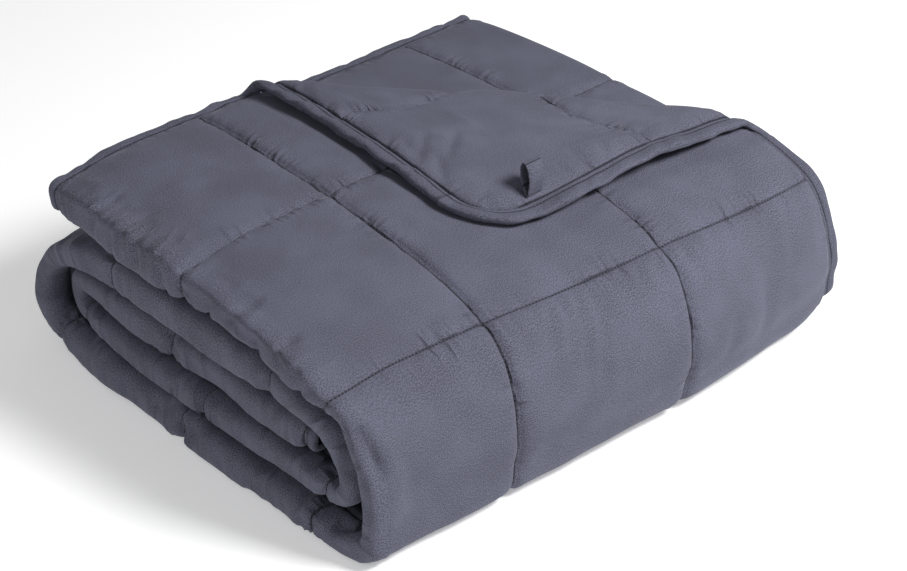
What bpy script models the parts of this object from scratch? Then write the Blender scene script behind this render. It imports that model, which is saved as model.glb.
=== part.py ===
"""A folded weighted blanket: quilted panel, edge binding and corner loop.

Run with: blender --background --python part.py

The blanket is modelled the way it is made and folded. Each piece is first shaped lying flat,
with u across the blanket, v along it and w through its thickness, all in metres. Three steps
then fold it: the width is folded in thirds, one corner of the top ply is turned back, and the
folded strip is rolled over itself into five layers that rest on z = 0.
"""

import math

import bmesh
import bpy
import numpy as np
from mathutils import Vector
from mathutils.bvhtree import BVHTree

# The flat blanket: squares of quilting inside a bound edge.
SQUARE = 0.1524
SQUARES_ACROSS = 8
SQUARES_ALONG = 12
BINDING_WIDTH = 0.0115
WIDTH = SQUARES_ACROSS * SQUARE + 2 * BINDING_WIDTH
LENGTH = SQUARES_ALONG * SQUARE + 2 * BINDING_WIDTH

# Through the thickness.
PUFF = 0.0088
SEAM = 0.0030
BINDING_THICK = 0.0052
BINDING_EDGE_THICK = 0.0026
PIECE_GAP = 0.0003
PUFF_FULLNESS = 3.0
CROWN = 0.0034
CROWN_ENDS_SQUARES = 2.9
CROWN_FADES_SQUARES = 0.9
CROWN_CLEARS_CREASE = 0.030
CROWN_CLEARS_FLAP = (1.0, 1.25)
CORNER_RADIUS = 0.045

# The fold in thirds. One ply of the folded strip takes up PLY_PITCH of its thickness.
PLY_PITCH = 0.0094
STRIP_WIDTH = 0.440
INNER_FOLD_INSET = 0.046
INNER_FOLD_SKEW = 0.020
INNER_FOLD_SKEW_SQUARES = (0.0, 1.6)
OVERHANG_DROOP = 1.00
INNER_PLY_TAKE_UP = 0.94
FOLD_SQUARENESS = 3.2

# The corner that is turned back: where its crease meets the back edge and the side edge of
# the top ply, measured from that corner, and how tightly it bends. Two tables then run along
# the crease, from the back edge at 0 to the side edge at 1: how far the crease is bowed toward
# the front, and how much higher the corner comes to rest past it.
CREASE_FROM_CORNER_BACK = 0.280
CREASE_FROM_CORNER_SIDE = 0.284
CREASE_RADIUS = 0.0060
CREASE_SETTLE = 0.070
BEND_STEPS = 64
FLAP_GAP = 0.0012
CREASE_BOW = ((0.0, 0.0), (0.12, 0.003), (0.26, 0.018), (0.68, 0.019), (0.88, 0.003), (1.0, 0.0))
CREASE_LIFT = ((0.0, 0.003), (0.4, 0.0), (0.56, 0.001), (0.74, 0.012), (0.90, 0.018), (1.0, 0.006))
FLAP_LEAST_WIDTH = 0.005

# The roll of the strip, seen from its left side. Each row is a station of the strip's middle:
# the quilted squares from the top ply's back edge, its place, the thickness of the three plies
# together, and how far the strip reaches to the left and to the right. ROLL's columns are
# squares, y, z, thick, left, right.
ROLL = (
    # top layer, from the back to the front
    (-0.08, 0.3385, 0.1312, 0.0284, 0.003, 0.440),
    (0.17, 0.3032, 0.1350, 0.0302, 0.000, 0.440),
    (0.57, 0.2444, 0.1358, 0.0306, -0.002, 0.440),
    (1.02, 0.1810, 0.1348, 0.0294, -0.002, 0.439),
    (1.35, 0.1358, 0.1312, 0.0262, -0.002, 0.440),
    (1.67, 0.0905, 0.1246, 0.0220, -0.001, 0.442),
    (1.94, 0.0543, 0.1150, 0.0186, 0.000, 0.443),
    (2.09, 0.0326, 0.1026, 0.0164, 0.002, 0.443),
    # around the front
    (2.24, 0.0190, 0.0796, 0.0149, 0.004, 0.443),
    (2.38, 0.0113, 0.0570, 0.0145, 0.004, 0.442),
    (2.52, 0.0078, 0.0353, 0.0145, 0.003, 0.441),
    (2.66, 0.0118, 0.0177, 0.0154, -0.001, 0.439),
    # bottom layer, from the front to the back
    (2.80, 0.0299, 0.0105, 0.0181, -0.004, 0.438),
    (3.02, 0.0588, 0.0118, 0.0226, -0.006, 0.436),
    (3.32, 0.0995, 0.0146, 0.0280, -0.007, 0.434),
    (3.94, 0.1810, 0.0152, 0.0290, -0.007, 0.429),
    (4.58, 0.2715, 0.0150, 0.0286, -0.006, 0.422),
    (4.93, 0.3213, 0.0145, 0.0262, -0.004, 0.416),
    # around the back
    (5.09, 0.3439, 0.0208, 0.0222, 0.001, 0.414),
    (5.24, 0.3535, 0.0407, 0.0206, 0.000, 0.414),
    (5.40, 0.3496, 0.0634, 0.0212, 0.000, 0.413),
    (5.59, 0.3296, 0.0842, 0.0256, 0.000, 0.413),
    # fourth layer, from the back to the front
    (5.85, 0.2896, 0.0966, 0.0300, 0.000, 0.414),
    (6.19, 0.2353, 0.0998, 0.0310, 0.000, 0.418),
    (6.51, 0.1810, 0.1004, 0.0312, 0.000, 0.422),
    (6.78, 0.1358, 0.1002, 0.0290, 0.000, 0.425),
    (7.01, 0.0995, 0.0990, 0.0246, 0.000, 0.427),
    (7.22, 0.0706, 0.0950, 0.0181, 0.002, 0.427),
    # around the front, inside the outer turn
    (7.40, 0.0500, 0.0872, 0.0149, 0.004, 0.427),
    (7.57, 0.0375, 0.0722, 0.0145, 0.005, 0.427),
    (7.74, 0.0305, 0.0551, 0.0145, 0.005, 0.427),
    (7.88, 0.0352, 0.0417, 0.0163, 0.004, 0.427),
    # second layer, from the front to the back
    (8.08, 0.0581, 0.0405, 0.0180, 0.001, 0.425),
    (8.45, 0.0995, 0.0430, 0.0212, 0.000, 0.424),
    (9.10, 0.1810, 0.0432, 0.0220, -0.002, 0.420),
    (9.73, 0.2715, 0.0430, 0.0214, 0.000, 0.414),
    (10.00, 0.3082, 0.0430, 0.0204, 0.004, 0.413),
    # the innermost turn, at the back
    (10.08, 0.3188, 0.0463, 0.0204, 0.007, 0.412),
    (10.15, 0.3232, 0.0558, 0.0204, 0.009, 0.412),
    (10.22, 0.3188, 0.0653, 0.0204, 0.007, 0.412),
    # third layer, from the back to the front
    (10.30, 0.3082, 0.0686, 0.0208, 0.005, 0.413),
    (10.56, 0.2715, 0.0692, 0.0236, 0.003, 0.414),
    (11.19, 0.1810, 0.0694, 0.0258, 0.003, 0.418),
    (11.52, 0.1358, 0.0692, 0.0256, 0.003, 0.420),
    (11.85, 0.0905, 0.0680, 0.0240, 0.004, 0.422),
    (12.08, 0.0620, 0.0675, 0.0215, 0.005, 0.424),
)

# How the rolled blanket settles: it sinks toward the side of the free edges, its front bulges
# there, and its underside is pressed flat.
SINK = 0.045
SINK_FROM_X = 0.06
SINK_TO_X = 0.43
BULGE = 0.026
BULGE_AT_X = 0.29
BULGE_HALF_WIDTH = 0.30
BULGE_DEPTH = 0.16
DROOP = 0.006
DROOP_REACH = 0.055
TOE = 0.013
TOE_HEIGHT = 0.034
TOE_DEPTH = 0.075
PRESSED = 0.0025
PILE_HEIGHT = 0.14
MOST_OF_PILE = 1.2
BULGE_HEIGHTS = (-0.25, 0.4)

# ROLL is measured from the front left corner. The part's origin is under the middle of the pile.
ORIGIN_X = 0.216
ORIGIN_Y = 0.170

# The tape loop on the back of the turned-back corner, where it stands on the flat blanket.
LOOP_AT = (0.0150, 0.057)
LOOP_TAPE_WIDTH = 0.014
LOOP_TAPE_THICK = 0.0012
LOOP_HEIGHT = 0.024
LOOP_SPREAD = 0.0112
LOOP_FOOT = 0.64
LOOP_LEAN = math.radians(10.0)
LOOP_POINTS = 16
SKY = 1.0

# How finely the pieces are divided.
PUFF_STEPS = (0.0, 0.14, 0.5, 0.86, 1.0)
HIDDEN_PUFF_STEPS = (0.0, 0.5, 1.0)
FINE_SQUARES_ACROSS = 3
CLEAR_OF_FOLD = 0.12
SEAM_CLEAR_OF_FOLD = 0.004
TURN_PER_CELL = math.radians(20.0)
CELLS_PER_SQUARE = 3.2
CELLS_MIDDLE, CELLS_AT_SEAM, SEAM_REACH = 0.55, 2.2, 0.2
SAMPLES_PER_SQUARE = 80
ROLL_PROBE_SQUARES = 0.004
LEAST_CELLS = {"seen": 4, "hidden": 3}
VISIBLE_SQUARES_ALONG = 3
FOLD_CELLS = 6
CREASE_CUTS = (0.0, 0.15, 0.32, 0.5, 0.68, 0.85, 1.05, 1.8, 3.0)
CUT_SNAP = 0.0012
CUTS_WITHIN = 0.36

CLOTH_COLOUR = (0.083, 0.094, 0.124, 1.0)
BINDING_COLOUR = (0.060, 0.067, 0.089, 1.0)
CLOTH_ROUGHNESS = 0.92


def smooth_step(a, b, x):
    """0 below a, 1 above b, and an even S between them."""
    t = np.clip((np.asarray(x, float) - a) / (b - a), 0.0, 1.0)
    return t * t * (3.0 - 2.0 * t)


def along_table(table, at):
    """The columns of a table of stations at the values of its first column, joined smoothly."""
    rows = np.array(table, float)
    knots, values = rows[:, 0], rows[:, 1:]
    slopes = np.empty_like(values)
    slopes[1:-1] = (values[2:] - values[:-2]) / (knots[2:] - knots[:-2])[:, None]
    slopes[0] = (values[1] - values[0]) / (knots[1] - knots[0])
    slopes[-1] = (values[-1] - values[-2]) / (knots[-1] - knots[-2])
    at = np.asarray(at, float)
    i = np.clip(np.searchsorted(knots, at) - 1, 0, len(knots) - 2)
    step = (knots[i + 1] - knots[i])[..., None]
    t = ((at - knots[i])[..., None]) / step
    return (
        (1 + 2 * t) * (1 - t) ** 2 * values[i]
        + t * (1 - t) ** 2 * step * slopes[i]
        + t * t * (3 - 2 * t) * values[i + 1]
        + t * t * (t - 1) * step * slopes[i + 1]
    )


def squares_along(v):
    """Quilted squares from the first seam along the blanket's length."""
    return (np.asarray(v, float) - BINDING_WIDTH) / SQUARE


def fullness(distance):
    """0 at the seams across or along the blanket, 1 halfway between them."""
    part = np.mod((distance - BINDING_WIDTH) / SQUARE, 1.0)
    return 1.0 - np.abs(2.0 * part - 1.0) ** PUFF_FULLNESS


def crease_normal():
    """The level direction, in x and v, square to the crease and toward the corner."""
    across, along = CREASE_FROM_CORNER_BACK, CREASE_FROM_CORNER_SIDE
    return along / math.hypot(across, along), -across / math.hypot(across, along)


def along_crease(u, v):
    """How far along the crease a point lies, from 0 at the back edge to 1 at the side edge."""
    back, side = CREASE_FROM_CORNER_BACK, CREASE_FROM_CORNER_SIDE
    return np.clip(((back - u) * back + v * side) / (back ** 2 + side ** 2), 0.0, 1.0)


def crease_bow(share):
    """How far the crease is bowed toward the front."""
    return np.interp(share, *zip(*CREASE_BOW))


def past_crease(u, v):
    """How far the top ply's points lie past the crease, toward the corner."""
    normal_x, normal_v = crease_normal()
    straight = (CREASE_FROM_CORNER_BACK - u) * normal_x + v * normal_v
    return straight + crease_bow(along_crease(u, v))


def flap_width(share):
    """How far the turned-back corner reaches past its crease."""
    widest = float(along_crease(0.0, 0.0))
    part = np.minimum(share / widest, (1.0 - share) / (1.0 - widest))
    return np.maximum(CREASE_FROM_CORNER_BACK * crease_normal()[0] * part, FLAP_LEAST_WIDTH)


def crease_angle(distance, share):
    """The angle that a ply has turned through at a distance past its crease.

    It rises to a half turn, goes a little past it while the flap comes down on the ply
    below, and ends at exactly a half turn.
    """
    bend = math.pi * CREASE_RADIUS
    rest = PLY_PITCH + FLAP_GAP + np.interp(share, *zip(*CREASE_LIFT))
    drop = 2.0 * (2.0 * CREASE_RADIUS - rest) / CREASE_SETTLE
    past = np.clip((distance - bend) / CREASE_SETTLE, 0.0, 1.0)
    return math.pi * np.clip(distance / bend, 0.0, 1.0) + drop * np.sin(math.pi * past) ** 2


def crease_bend(distance, share):
    """How a ply runs on past its crease: how far out and how far up."""
    parts = (np.arange(BEND_STEPS) + 0.5) / BEND_STEPS
    angle = crease_angle(distance[:, None] * parts, share[:, None])
    return np.cos(angle).mean(axis=1) * distance, np.sin(angle).mean(axis=1) * distance


def crown(u, v, side):
    """How much further a puff stands out where nothing lies on it: the outside of the top ply."""
    past, share = past_crease(u, v), along_crease(u, v)
    shows = np.where(past > 0.0, side < 0.0, side > 0.0) & (u < STRIP_WIDTH)
    bare = smooth_step(*CROWN_CLEARS_FLAP, -past / (flap_width(share) - 2.0 * crease_bow(share)))
    clear = np.where(past > 0.0, np.minimum(1.0, past / CROWN_CLEARS_CREASE), bare)
    starts = CROWN_ENDS_SQUARES - CROWN_FADES_SQUARES
    fades = 1.0 - smooth_step(starts, CROWN_ENDS_SQUARES, squares_along(v))
    return CROWN * np.where(shows, clear * fades, 0.0)


def half_thickness(u, v, side):
    """Half the quilted panel's thickness: full in the middle of a square, thin at its seams."""
    full = np.sqrt(fullness(u) * fullness(v))
    return 0.5 * (SEAM + (PUFF - SEAM) * full) + crown(u, v, side) * full


def fold_in_thirds(u, w):
    """Fold the width in three: the top ply, the base ply, and the inner ply between them.

    The left fold is a little squarer than round. Returns x across the strip and the height in
    plies above the strip's middle.
    """
    lane = w / PLY_PITCH
    top = STRIP_WIDTH - PLY_PITCH
    turn = math.pi * PLY_PITCH
    inner_x = STRIP_WIDTH - INNER_FOLD_INSET - PLY_PITCH / 2
    base = inner_x - PLY_PITCH
    x, ply = STRIP_WIDTH - u, 1.0 + lane
    angle = np.clip((u - top) / PLY_PITCH, 0.0, math.pi)
    sine, cosine, power = np.sin(angle), np.cos(angle), FOLD_SQUARENESS
    reach = (1.0 + lane) / (np.abs(sine) ** power + np.abs(cosine) ** power) ** (1.0 / power)
    round_left = u > top
    x = np.where(round_left, PLY_PITCH - PLY_PITCH * reach * sine, x)
    ply = np.where(round_left, reach * cosine, ply)
    x = np.where(u > top + turn, PLY_PITCH + (u - top - turn), x)
    inner_start = top + turn + base
    angle = np.clip((u - inner_start) / (PLY_PITCH / 2), 0.0, math.pi)
    round_right = u > inner_start
    x = np.where(round_right, inner_x + PLY_PITCH * (0.5 + lane) * np.sin(angle), x)
    ply = np.where(round_right, -0.5 - (0.5 + lane) * np.cos(angle), ply)
    inner = u > inner_start + turn / 2
    x = np.where(inner, inner_x - INNER_PLY_TAKE_UP * (u - inner_start - turn / 2), x)
    return x, ply


def turn_back_corner(u, v, w, x, ply):
    """Turn the top ply's corner over its crease, so that its underside shows."""
    past = past_crease(u, v)
    turned = past > 0.0
    d, share, normal = past[turned], along_crease(u[turned], v[turned]), crease_normal()
    run = d - 2.0 * crease_bow(share) * np.minimum(1.0, d / flap_width(share))
    out, up = crease_bend(run, share)
    angle = crease_angle(run, share)
    shift = out - d - w[turned] * np.sin(angle)
    x, v, ply = x.copy(), v.copy(), ply.copy()
    x[turned] += shift * normal[0]
    v[turned] += shift * normal[1]
    ply[turned] = 1.0 + (up + w[turned] * np.cos(angle)) / PLY_PITCH
    return x, v, ply


def roll_up(x, v, ply):
    """Lay the folded strip along the stations of ROLL."""
    squares = squares_along(v)
    y, z, thick, left, right = np.moveaxis(along_table(ROLL, squares), -1, 0)
    ahead, behind = (along_table(ROLL, squares + side * ROLL_PROBE_SQUARES) for side in (1, -1))
    run_y, run_z = ahead[..., 0] - behind[..., 0], ahead[..., 1] - behind[..., 1]
    size = np.hypot(run_y, run_z)
    offset = ply * thick / 3.0
    y = y + offset * run_z / size
    z = z - offset * run_y / size
    return left + x * (right - left) / STRIP_WIDTH, y, z


def settle(x, y, z):
    """The way the rolled blanket sinks and bulges as a whole, about the part's origin."""
    height = np.clip(z / PILE_HEIGHT, 0.0, MOST_OF_PILE)
    z = z * (1.0 - SINK * smooth_step(SINK_FROM_X, SINK_TO_X, x))
    bulge = 1.0 - smooth_step(0.0, BULGE_HALF_WIDTH, np.abs(x - BULGE_AT_X))
    bulge = bulge * (1.0 - smooth_step(0.0, BULGE_DEPTH, y)) * smooth_step(*BULGE_HEIGHTS, height)
    y = y - BULGE * bulge
    y = y - TOE * (1.0 - smooth_step(0.0, TOE_HEIGHT, z)) * (1.0 - smooth_step(0.0, TOE_DEPTH, y))
    droop = smooth_step(DROOP_REACH, 0.0, x) * height ** 2
    z = z - DROOP * droop
    z = np.where(z < PRESSED, 0.0, z - PRESSED)
    return x - ORIGIN_X, y - ORIGIN_Y, z


def round_corners(u, v):
    """Draw the square corners of the flat blanket in to arcs, with the binding kept parallel."""
    across, along = CORNER_RADIUS - np.minimum(u, WIDTH - u), CORNER_RADIUS - np.minimum(v, LENGTH - v)
    inside = (across > 0.0) & (along > 0.0)
    scale = np.where(inside, np.maximum(across, along) / np.maximum(np.hypot(across, along), 1e-9), 1.0)
    near_u, near_v = CORNER_RADIUS - across * scale, CORNER_RADIUS - along * scale
    u = np.where(inside, np.where(u < WIDTH / 2, near_u, WIDTH - near_u), u)
    v = np.where(inside, np.where(v < LENGTH / 2, near_v, LENGTH - near_v), v)
    return u, v


def skew_inner_fold(u, v, x):
    """Draw the inner plies' folded edge in at the back and out toward the front, on the top layer."""
    start, end = INNER_FOLD_SKEW_SQUARES
    squares = squares_along(v)
    skew = smooth_step(start - 1.0, end, squares) - 0.5
    fades = 1.0 - smooth_step(end, 2 * end, squares)
    share = np.clip(x / STRIP_WIDTH, 0.0, 1.0)
    return x + INNER_FOLD_SKEW * skew * fades * np.where(u > STRIP_WIDTH, share, 0.0)


def let_edge_droop(u, x, ply):
    """Let the top ply hang down where it reaches past the folded edge of the plies below."""
    hangs = smooth_step(STRIP_WIDTH - INNER_FOLD_INSET - PLY_PITCH / 2, STRIP_WIDTH, x)
    return ply - OVERHANG_DROOP * np.where(u < STRIP_WIDTH - 2 * PLY_PITCH, hangs, 0.0)


def folded(points):
    """The place in the folded blanket of points of the flat one."""
    points = np.asarray(points, float)
    u, v, w = points[:, 0], points[:, 1], points[:, 2]
    u, v = round_corners(u, v)
    x, ply = fold_in_thirds(u, w)
    x = skew_inner_fold(u, v, x)
    x, v, ply = turn_back_corner(u, v, w, x, ply)
    ply = let_edge_droop(u, x, ply)
    return np.stack(settle(*roll_up(x, v, ply)), axis=1)


def across_stations():
    """Where the panel is divided across its width: finer on the top ply and at the folds."""
    top_end = STRIP_WIDTH - PLY_PITCH
    turn = math.pi * PLY_PITCH
    inner_x = STRIP_WIDTH - INNER_FOLD_INSET - PLY_PITCH / 2
    inner_start = top_end + turn + inner_x - PLY_PITCH
    folds = [top_end + turn * i / FOLD_CELLS for i in range(FOLD_CELLS + 1)]
    folds += [inner_start + turn / 2 * i / (FOLD_CELLS - 1) for i in range(FOLD_CELLS)]
    stations = []
    for square in range(SQUARES_ACROSS):
        steps = PUFF_STEPS if square < FINE_SQUARES_ACROSS else HIDDEN_PUFF_STEPS
        stations += [BINDING_WIDTH + (square + part) * SQUARE for part in steps[:-1]]
    stations += [WIDTH - CORNER_RADIUS, CORNER_RADIUS / 2 + BINDING_WIDTH / 2]
    clear = SQUARE * CLEAR_OF_FOLD
    stations = [s for s in stations if all(abs(s - f) > clear for f in folds)]
    seams = [BINDING_WIDTH + k * SQUARE for k in range(SQUARES_ACROSS)]
    keep = [s for s in seams if not folds[0] < s < folds[FOLD_CELLS] and s not in stations]
    keep = [s for s in keep if all(abs(s - f) > SEAM_CLEAR_OF_FOLD for f in folds)]
    inner = sorted(set(stations + folds + keep))
    return [s for s in inner if BINDING_WIDTH < s < WIDTH - BINDING_WIDTH]


def along_stations():
    """Where the panel is divided along its length: at each seam, and closer where it bends."""
    stations = []
    for square in range(SQUARES_ALONG):
        fine = np.linspace(square, square + 1, SAMPLES_PER_SQUARE + 1)
        path = along_table(ROLL, fine)[:, :2]
        run = np.diff(path, axis=0)
        heading = np.unwrap(np.arctan2(run[:, 1], run[:, 0]))
        turning = np.abs(np.diff(heading, prepend=heading[0]))
        middles = (np.arange(SAMPLES_PER_SQUARE) + 0.5) / SAMPLES_PER_SQUARE
        to_seam = np.minimum(middles, 1.0 - middles)
        closer = CELLS_MIDDLE + CELLS_AT_SEAM * np.maximum(0.0, 1.0 - to_seam / SEAM_REACH)
        wanted = CELLS_PER_SQUARE / SAMPLES_PER_SQUARE * closer
        effort = np.concatenate(([0.0], np.cumsum(turning / TURN_PER_CELL + wanted)))
        least = LEAST_CELLS["seen" if square < VISIBLE_SQUARES_ALONG else "hidden"]
        cells = max(least, round(effort[-1]))
        places = np.interp(np.linspace(0.0, effort[-1], cells + 1), effort, fine)
        stations += [BINDING_WIDTH + SQUARE * p for p in places[:-1]]
    return [s for s in stations if s > BINDING_WIDTH]


def cut_along_crease(bm):
    """Cut a flat grid where the crease bends, at parts of the length of its bend.

    The bowed crease is made of straight runs. The grid is first cut square to the crease
    where they meet, and each run is then cut by itself.
    """
    normal_u, normal_v = -crease_normal()[0], crease_normal()[1]
    back, side = CREASE_FROM_CORNER_BACK, CREASE_FROM_CORNER_SIDE

    def place(share, past):
        return Vector((back * (1.0 - share) + normal_u * past, side * share + normal_v * past, 0.0))

    def cut(low, high, point, normal):
        faces = []
        for face in bm.faces:
            u, v = face.calc_center_median()[:2]
            if max(u, v) < CUTS_WITHIN and low <= along_crease(u, v) <= high:
                faces.append(face)
        geom = {part for face in faces for part in (*face.verts, *face.edges)}
        bmesh.ops.bisect_plane(bm, geom=[*geom, *faces], dist=CUT_SNAP, plane_co=point, plane_no=normal)

    for share, _ in CREASE_BOW[1:-1]:
        cut(0.0, 1.0, place(share, 0.0), Vector((-back, side, 0.0)).normalized())
    for (low, low_bow), (high, high_bow) in zip(CREASE_BOW, CREASE_BOW[1:]):
        for part in CREASE_CUTS:
            past = part * math.pi * CREASE_RADIUS
            start, end = place(low, past - low_bow), place(high, past - high_bow)
            cut(low, high, start, (end - start).cross(Vector((0.0, 0.0, 1.0))).normalized())


def flat_sheet(across, along, wanted):
    """A flat, closed sheet divided at the given stations, of the cells that are wanted.

    The faces start as one grid. It is cut along the crease, given two sides, and left with
    w = 1 on the face and w = -1 on the back.
    """
    bm = bmesh.new()
    bmesh.ops.create_grid(bm, x_segments=len(across) - 1, y_segments=len(along) - 1, size=0.5)
    for vert in bm.verts:
        i = round((vert.co.x + 0.5) * (len(across) - 1))
        j = round((vert.co.y + 0.5) * (len(along) - 1))
        vert.co = (across[i], along[j], 0.0)
    unwanted = [f for f in bm.faces if not wanted(*f.calc_center_median()[:2])]
    bmesh.ops.delete(bm, geom=unwanted, context="FACES")
    cut_along_crease(bm)
    bmesh.ops.recalc_face_normals(bm, faces=bm.faces)
    bmesh.ops.solidify(bm, geom=bm.faces[:], thickness=1.0)
    middle = sum(v.co.z for v in bm.verts) / len(bm.verts)
    for vert in bm.verts:
        vert.co.z = 1.0 if vert.co.z > middle else -1.0
    return bm


def fabric(name, colour):
    """A plain cloth material."""
    material = bpy.data.materials.new(name)
    material.use_nodes = True
    shader = material.node_tree.nodes["Principled BSDF"]
    shader.inputs["Base Color"].default_value = colour
    shader.inputs["Roughness"].default_value = CLOTH_ROUGHNESS
    shader.inputs["Metallic"].default_value = 0.0
    return material


def add_object(name, bm, material):
    """Add a closed mesh to the scene as a named object, with its faces turned outward."""
    bmesh.ops.triangulate(bm, faces=bm.faces[:])
    bmesh.ops.recalc_face_normals(bm, faces=bm.faces[:])
    mesh = bpy.data.meshes.new(name)
    bm.to_mesh(mesh)
    bm.free()
    mesh.materials.append(material)
    obj = bpy.data.objects.new(name, mesh)
    bpy.context.scene.collection.objects.link(obj)
    return obj


def bend_mesh(bm, half_height):
    """Give a flat sheet its thickness and fold it."""
    flat = np.array([v.co for v in bm.verts])
    flat[:, 2] *= half_height(*flat.T)
    for vert, place in zip(bm.verts, folded(flat)):
        vert.co = place


def quilted_panel(material):
    """The quilted body of the blanket, in one piece through all its folds."""
    low, high = BINDING_WIDTH + PIECE_GAP, (WIDTH - BINDING_WIDTH, LENGTH - BINDING_WIDTH)
    across = [low, *across_stations(), high[0] - PIECE_GAP]
    along = [low, *along_stations(), high[1] - PIECE_GAP]
    bm = flat_sheet(across, along, lambda u, v: True)
    bend_mesh(bm, half_thickness)
    return add_object("quilted_panel", bm, material)


def binding_half_thickness(u, v, _side):
    """Half the binding's thickness: thick down its middle, thinner at its two edges."""
    edge = np.minimum(np.minimum(u, WIDTH - u), np.minimum(v, LENGTH - v))
    part = np.clip(edge / BINDING_WIDTH, 0.0, 1.0)
    return 0.5 * (BINDING_EDGE_THICK + (BINDING_THICK - BINDING_EDGE_THICK) * np.sin(math.pi * part))


def edge_binding(material):
    """The binding that runs all round the blanket, outside the quilted panel's edge."""
    middle = BINDING_WIDTH / 2

    def with_borders(size, inner):
        return [0.0, middle, BINDING_WIDTH, *inner, size - BINDING_WIDTH, size - middle, size]

    def in_border(u, v):
        edge = min(u, WIDTH - u, v, LENGTH - v)
        return edge < BINDING_WIDTH

    across = with_borders(WIDTH, across_stations())
    along = with_borders(LENGTH, along_stations())
    bm = flat_sheet(across, along, in_border)
    bend_mesh(bm, binding_half_thickness)
    return add_object("edge_binding", bm, material)


def loop_outline(inset):
    """The outline of the standing loop, seen along the tape's width: an egg, narrower at its foot."""
    points = []
    for i in range(LOOP_POINTS):
        angle = 2.0 * math.pi * i / LOOP_POINTS
        height = LOOP_HEIGHT / 2 + (LOOP_HEIGHT / 2 - inset) * math.sin(angle)
        narrowing = 0.5 * (1 + LOOP_FOOT + (1 - LOOP_FOOT) * math.sin(angle))
        side = (LOOP_SPREAD / 2 * narrowing - inset) * math.cos(angle)
        points.append((side + height * math.tan(LOOP_LEAN), height))
    return points


def loop_seat(panel):
    """Where the loop's foot rests: just clear of the turned-back corner's underside."""
    x, y, _ = folded([(*LOOP_AT, 0.0)])[0]
    surface = BVHTree.FromObject(panel, bpy.context.evaluated_depsgraph_get())
    heights = []
    for dx in np.linspace(-LOOP_TAPE_WIDTH / 2, LOOP_TAPE_WIDTH / 2, 5):
        for dy in (-LOOP_TAPE_THICK, 0.0, LOOP_TAPE_THICK):
            hit = surface.ray_cast((x + dx, y + dy, SKY), (0.0, 0.0, -1.0))
            heights.append(hit[0].z)
    return x, y, max(heights) + PIECE_GAP


def corner_loop(material, panel):
    """The narrow tape sewn on as a standing loop, by which a cover is tied to the blanket."""
    curve = bpy.data.curves.new("corner_loop", "CURVE")
    curve.dimensions = "2D"
    curve.fill_mode = "BOTH"
    curve.extrude = LOOP_TAPE_WIDTH / 2
    for inset in (0.0, LOOP_TAPE_THICK):
        outline = loop_outline(inset)
        spline = curve.splines.new("POLY")
        spline.points.add(len(outline) - 1)
        for point, (side, height) in zip(spline.points, outline):
            point.co = (side, height, 0.0, 1.0)
        spline.use_cyclic_u = True
    curve.materials.append(material)
    obj = bpy.data.objects.new("corner_loop", curve)
    obj.location = loop_seat(panel)
    obj.rotation_euler = (math.pi / 2, 0.0, math.pi / 2)
    bpy.context.scene.collection.objects.link(obj)
    return obj


def main():
    for obj in list(bpy.data.objects):
        bpy.data.objects.remove(obj, do_unlink=True)
    cloth = fabric("brushed_cloth", CLOTH_COLOUR)
    trim = fabric("binding_tape", BINDING_COLOUR)
    panel = quilted_panel(cloth)
    edge_binding(trim)
    corner_loop(trim, panel)


main()
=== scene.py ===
"""Looks of a folded weighted blanket: brushed quilted cloth, bound edge, tape loop and stitching.

The blanket is shaped lying flat, with u across it, v along it and w through it, all in metres.
It is then folded in thirds, has one corner of its top ply turned back, and is rolled over
itself into layers that rest on z = 0.
"""

import logging
import math
from collections.abc import Callable
from dataclasses import dataclass, field
from enum import Enum

import bmesh
import bpy
import numpy as np
from mathutils import Euler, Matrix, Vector


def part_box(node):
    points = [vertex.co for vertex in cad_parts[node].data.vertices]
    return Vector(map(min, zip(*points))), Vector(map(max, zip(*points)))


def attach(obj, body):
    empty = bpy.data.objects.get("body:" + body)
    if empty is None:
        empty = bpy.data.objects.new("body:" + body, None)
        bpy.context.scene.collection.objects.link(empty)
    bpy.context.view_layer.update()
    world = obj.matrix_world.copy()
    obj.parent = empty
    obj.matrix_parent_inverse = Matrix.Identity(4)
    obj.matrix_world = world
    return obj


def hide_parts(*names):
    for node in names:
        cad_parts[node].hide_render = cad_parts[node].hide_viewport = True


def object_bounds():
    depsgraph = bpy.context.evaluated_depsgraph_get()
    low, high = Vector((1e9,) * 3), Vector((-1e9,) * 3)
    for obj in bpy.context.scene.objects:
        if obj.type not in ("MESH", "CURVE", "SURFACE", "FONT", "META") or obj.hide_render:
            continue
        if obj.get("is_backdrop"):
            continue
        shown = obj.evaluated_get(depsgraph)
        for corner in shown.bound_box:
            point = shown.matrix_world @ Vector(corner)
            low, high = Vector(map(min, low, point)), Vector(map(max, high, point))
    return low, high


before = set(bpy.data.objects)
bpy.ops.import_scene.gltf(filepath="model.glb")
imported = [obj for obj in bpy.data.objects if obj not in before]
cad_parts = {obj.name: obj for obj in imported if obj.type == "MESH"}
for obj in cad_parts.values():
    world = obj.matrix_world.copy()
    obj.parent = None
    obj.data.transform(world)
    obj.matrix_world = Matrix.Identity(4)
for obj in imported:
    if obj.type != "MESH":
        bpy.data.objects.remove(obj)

Array = np.ndarray
Pair = tuple[float, float]
Socket = bpy.types.NodeSocket

CAD_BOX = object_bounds()
log = logging.getLogger("blanket")


class Side(Enum):
    """The two cloths of the blanket, as the sign of w on them."""

    FACE = 1.0
    BACK = -1.0


class SeamRun(Enum):
    """Which way a quilting seam runs over the flat blanket."""

    ACROSS = "rows"
    ALONG = "columns"


# ---------------------------------------------------------------- small helpers


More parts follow.
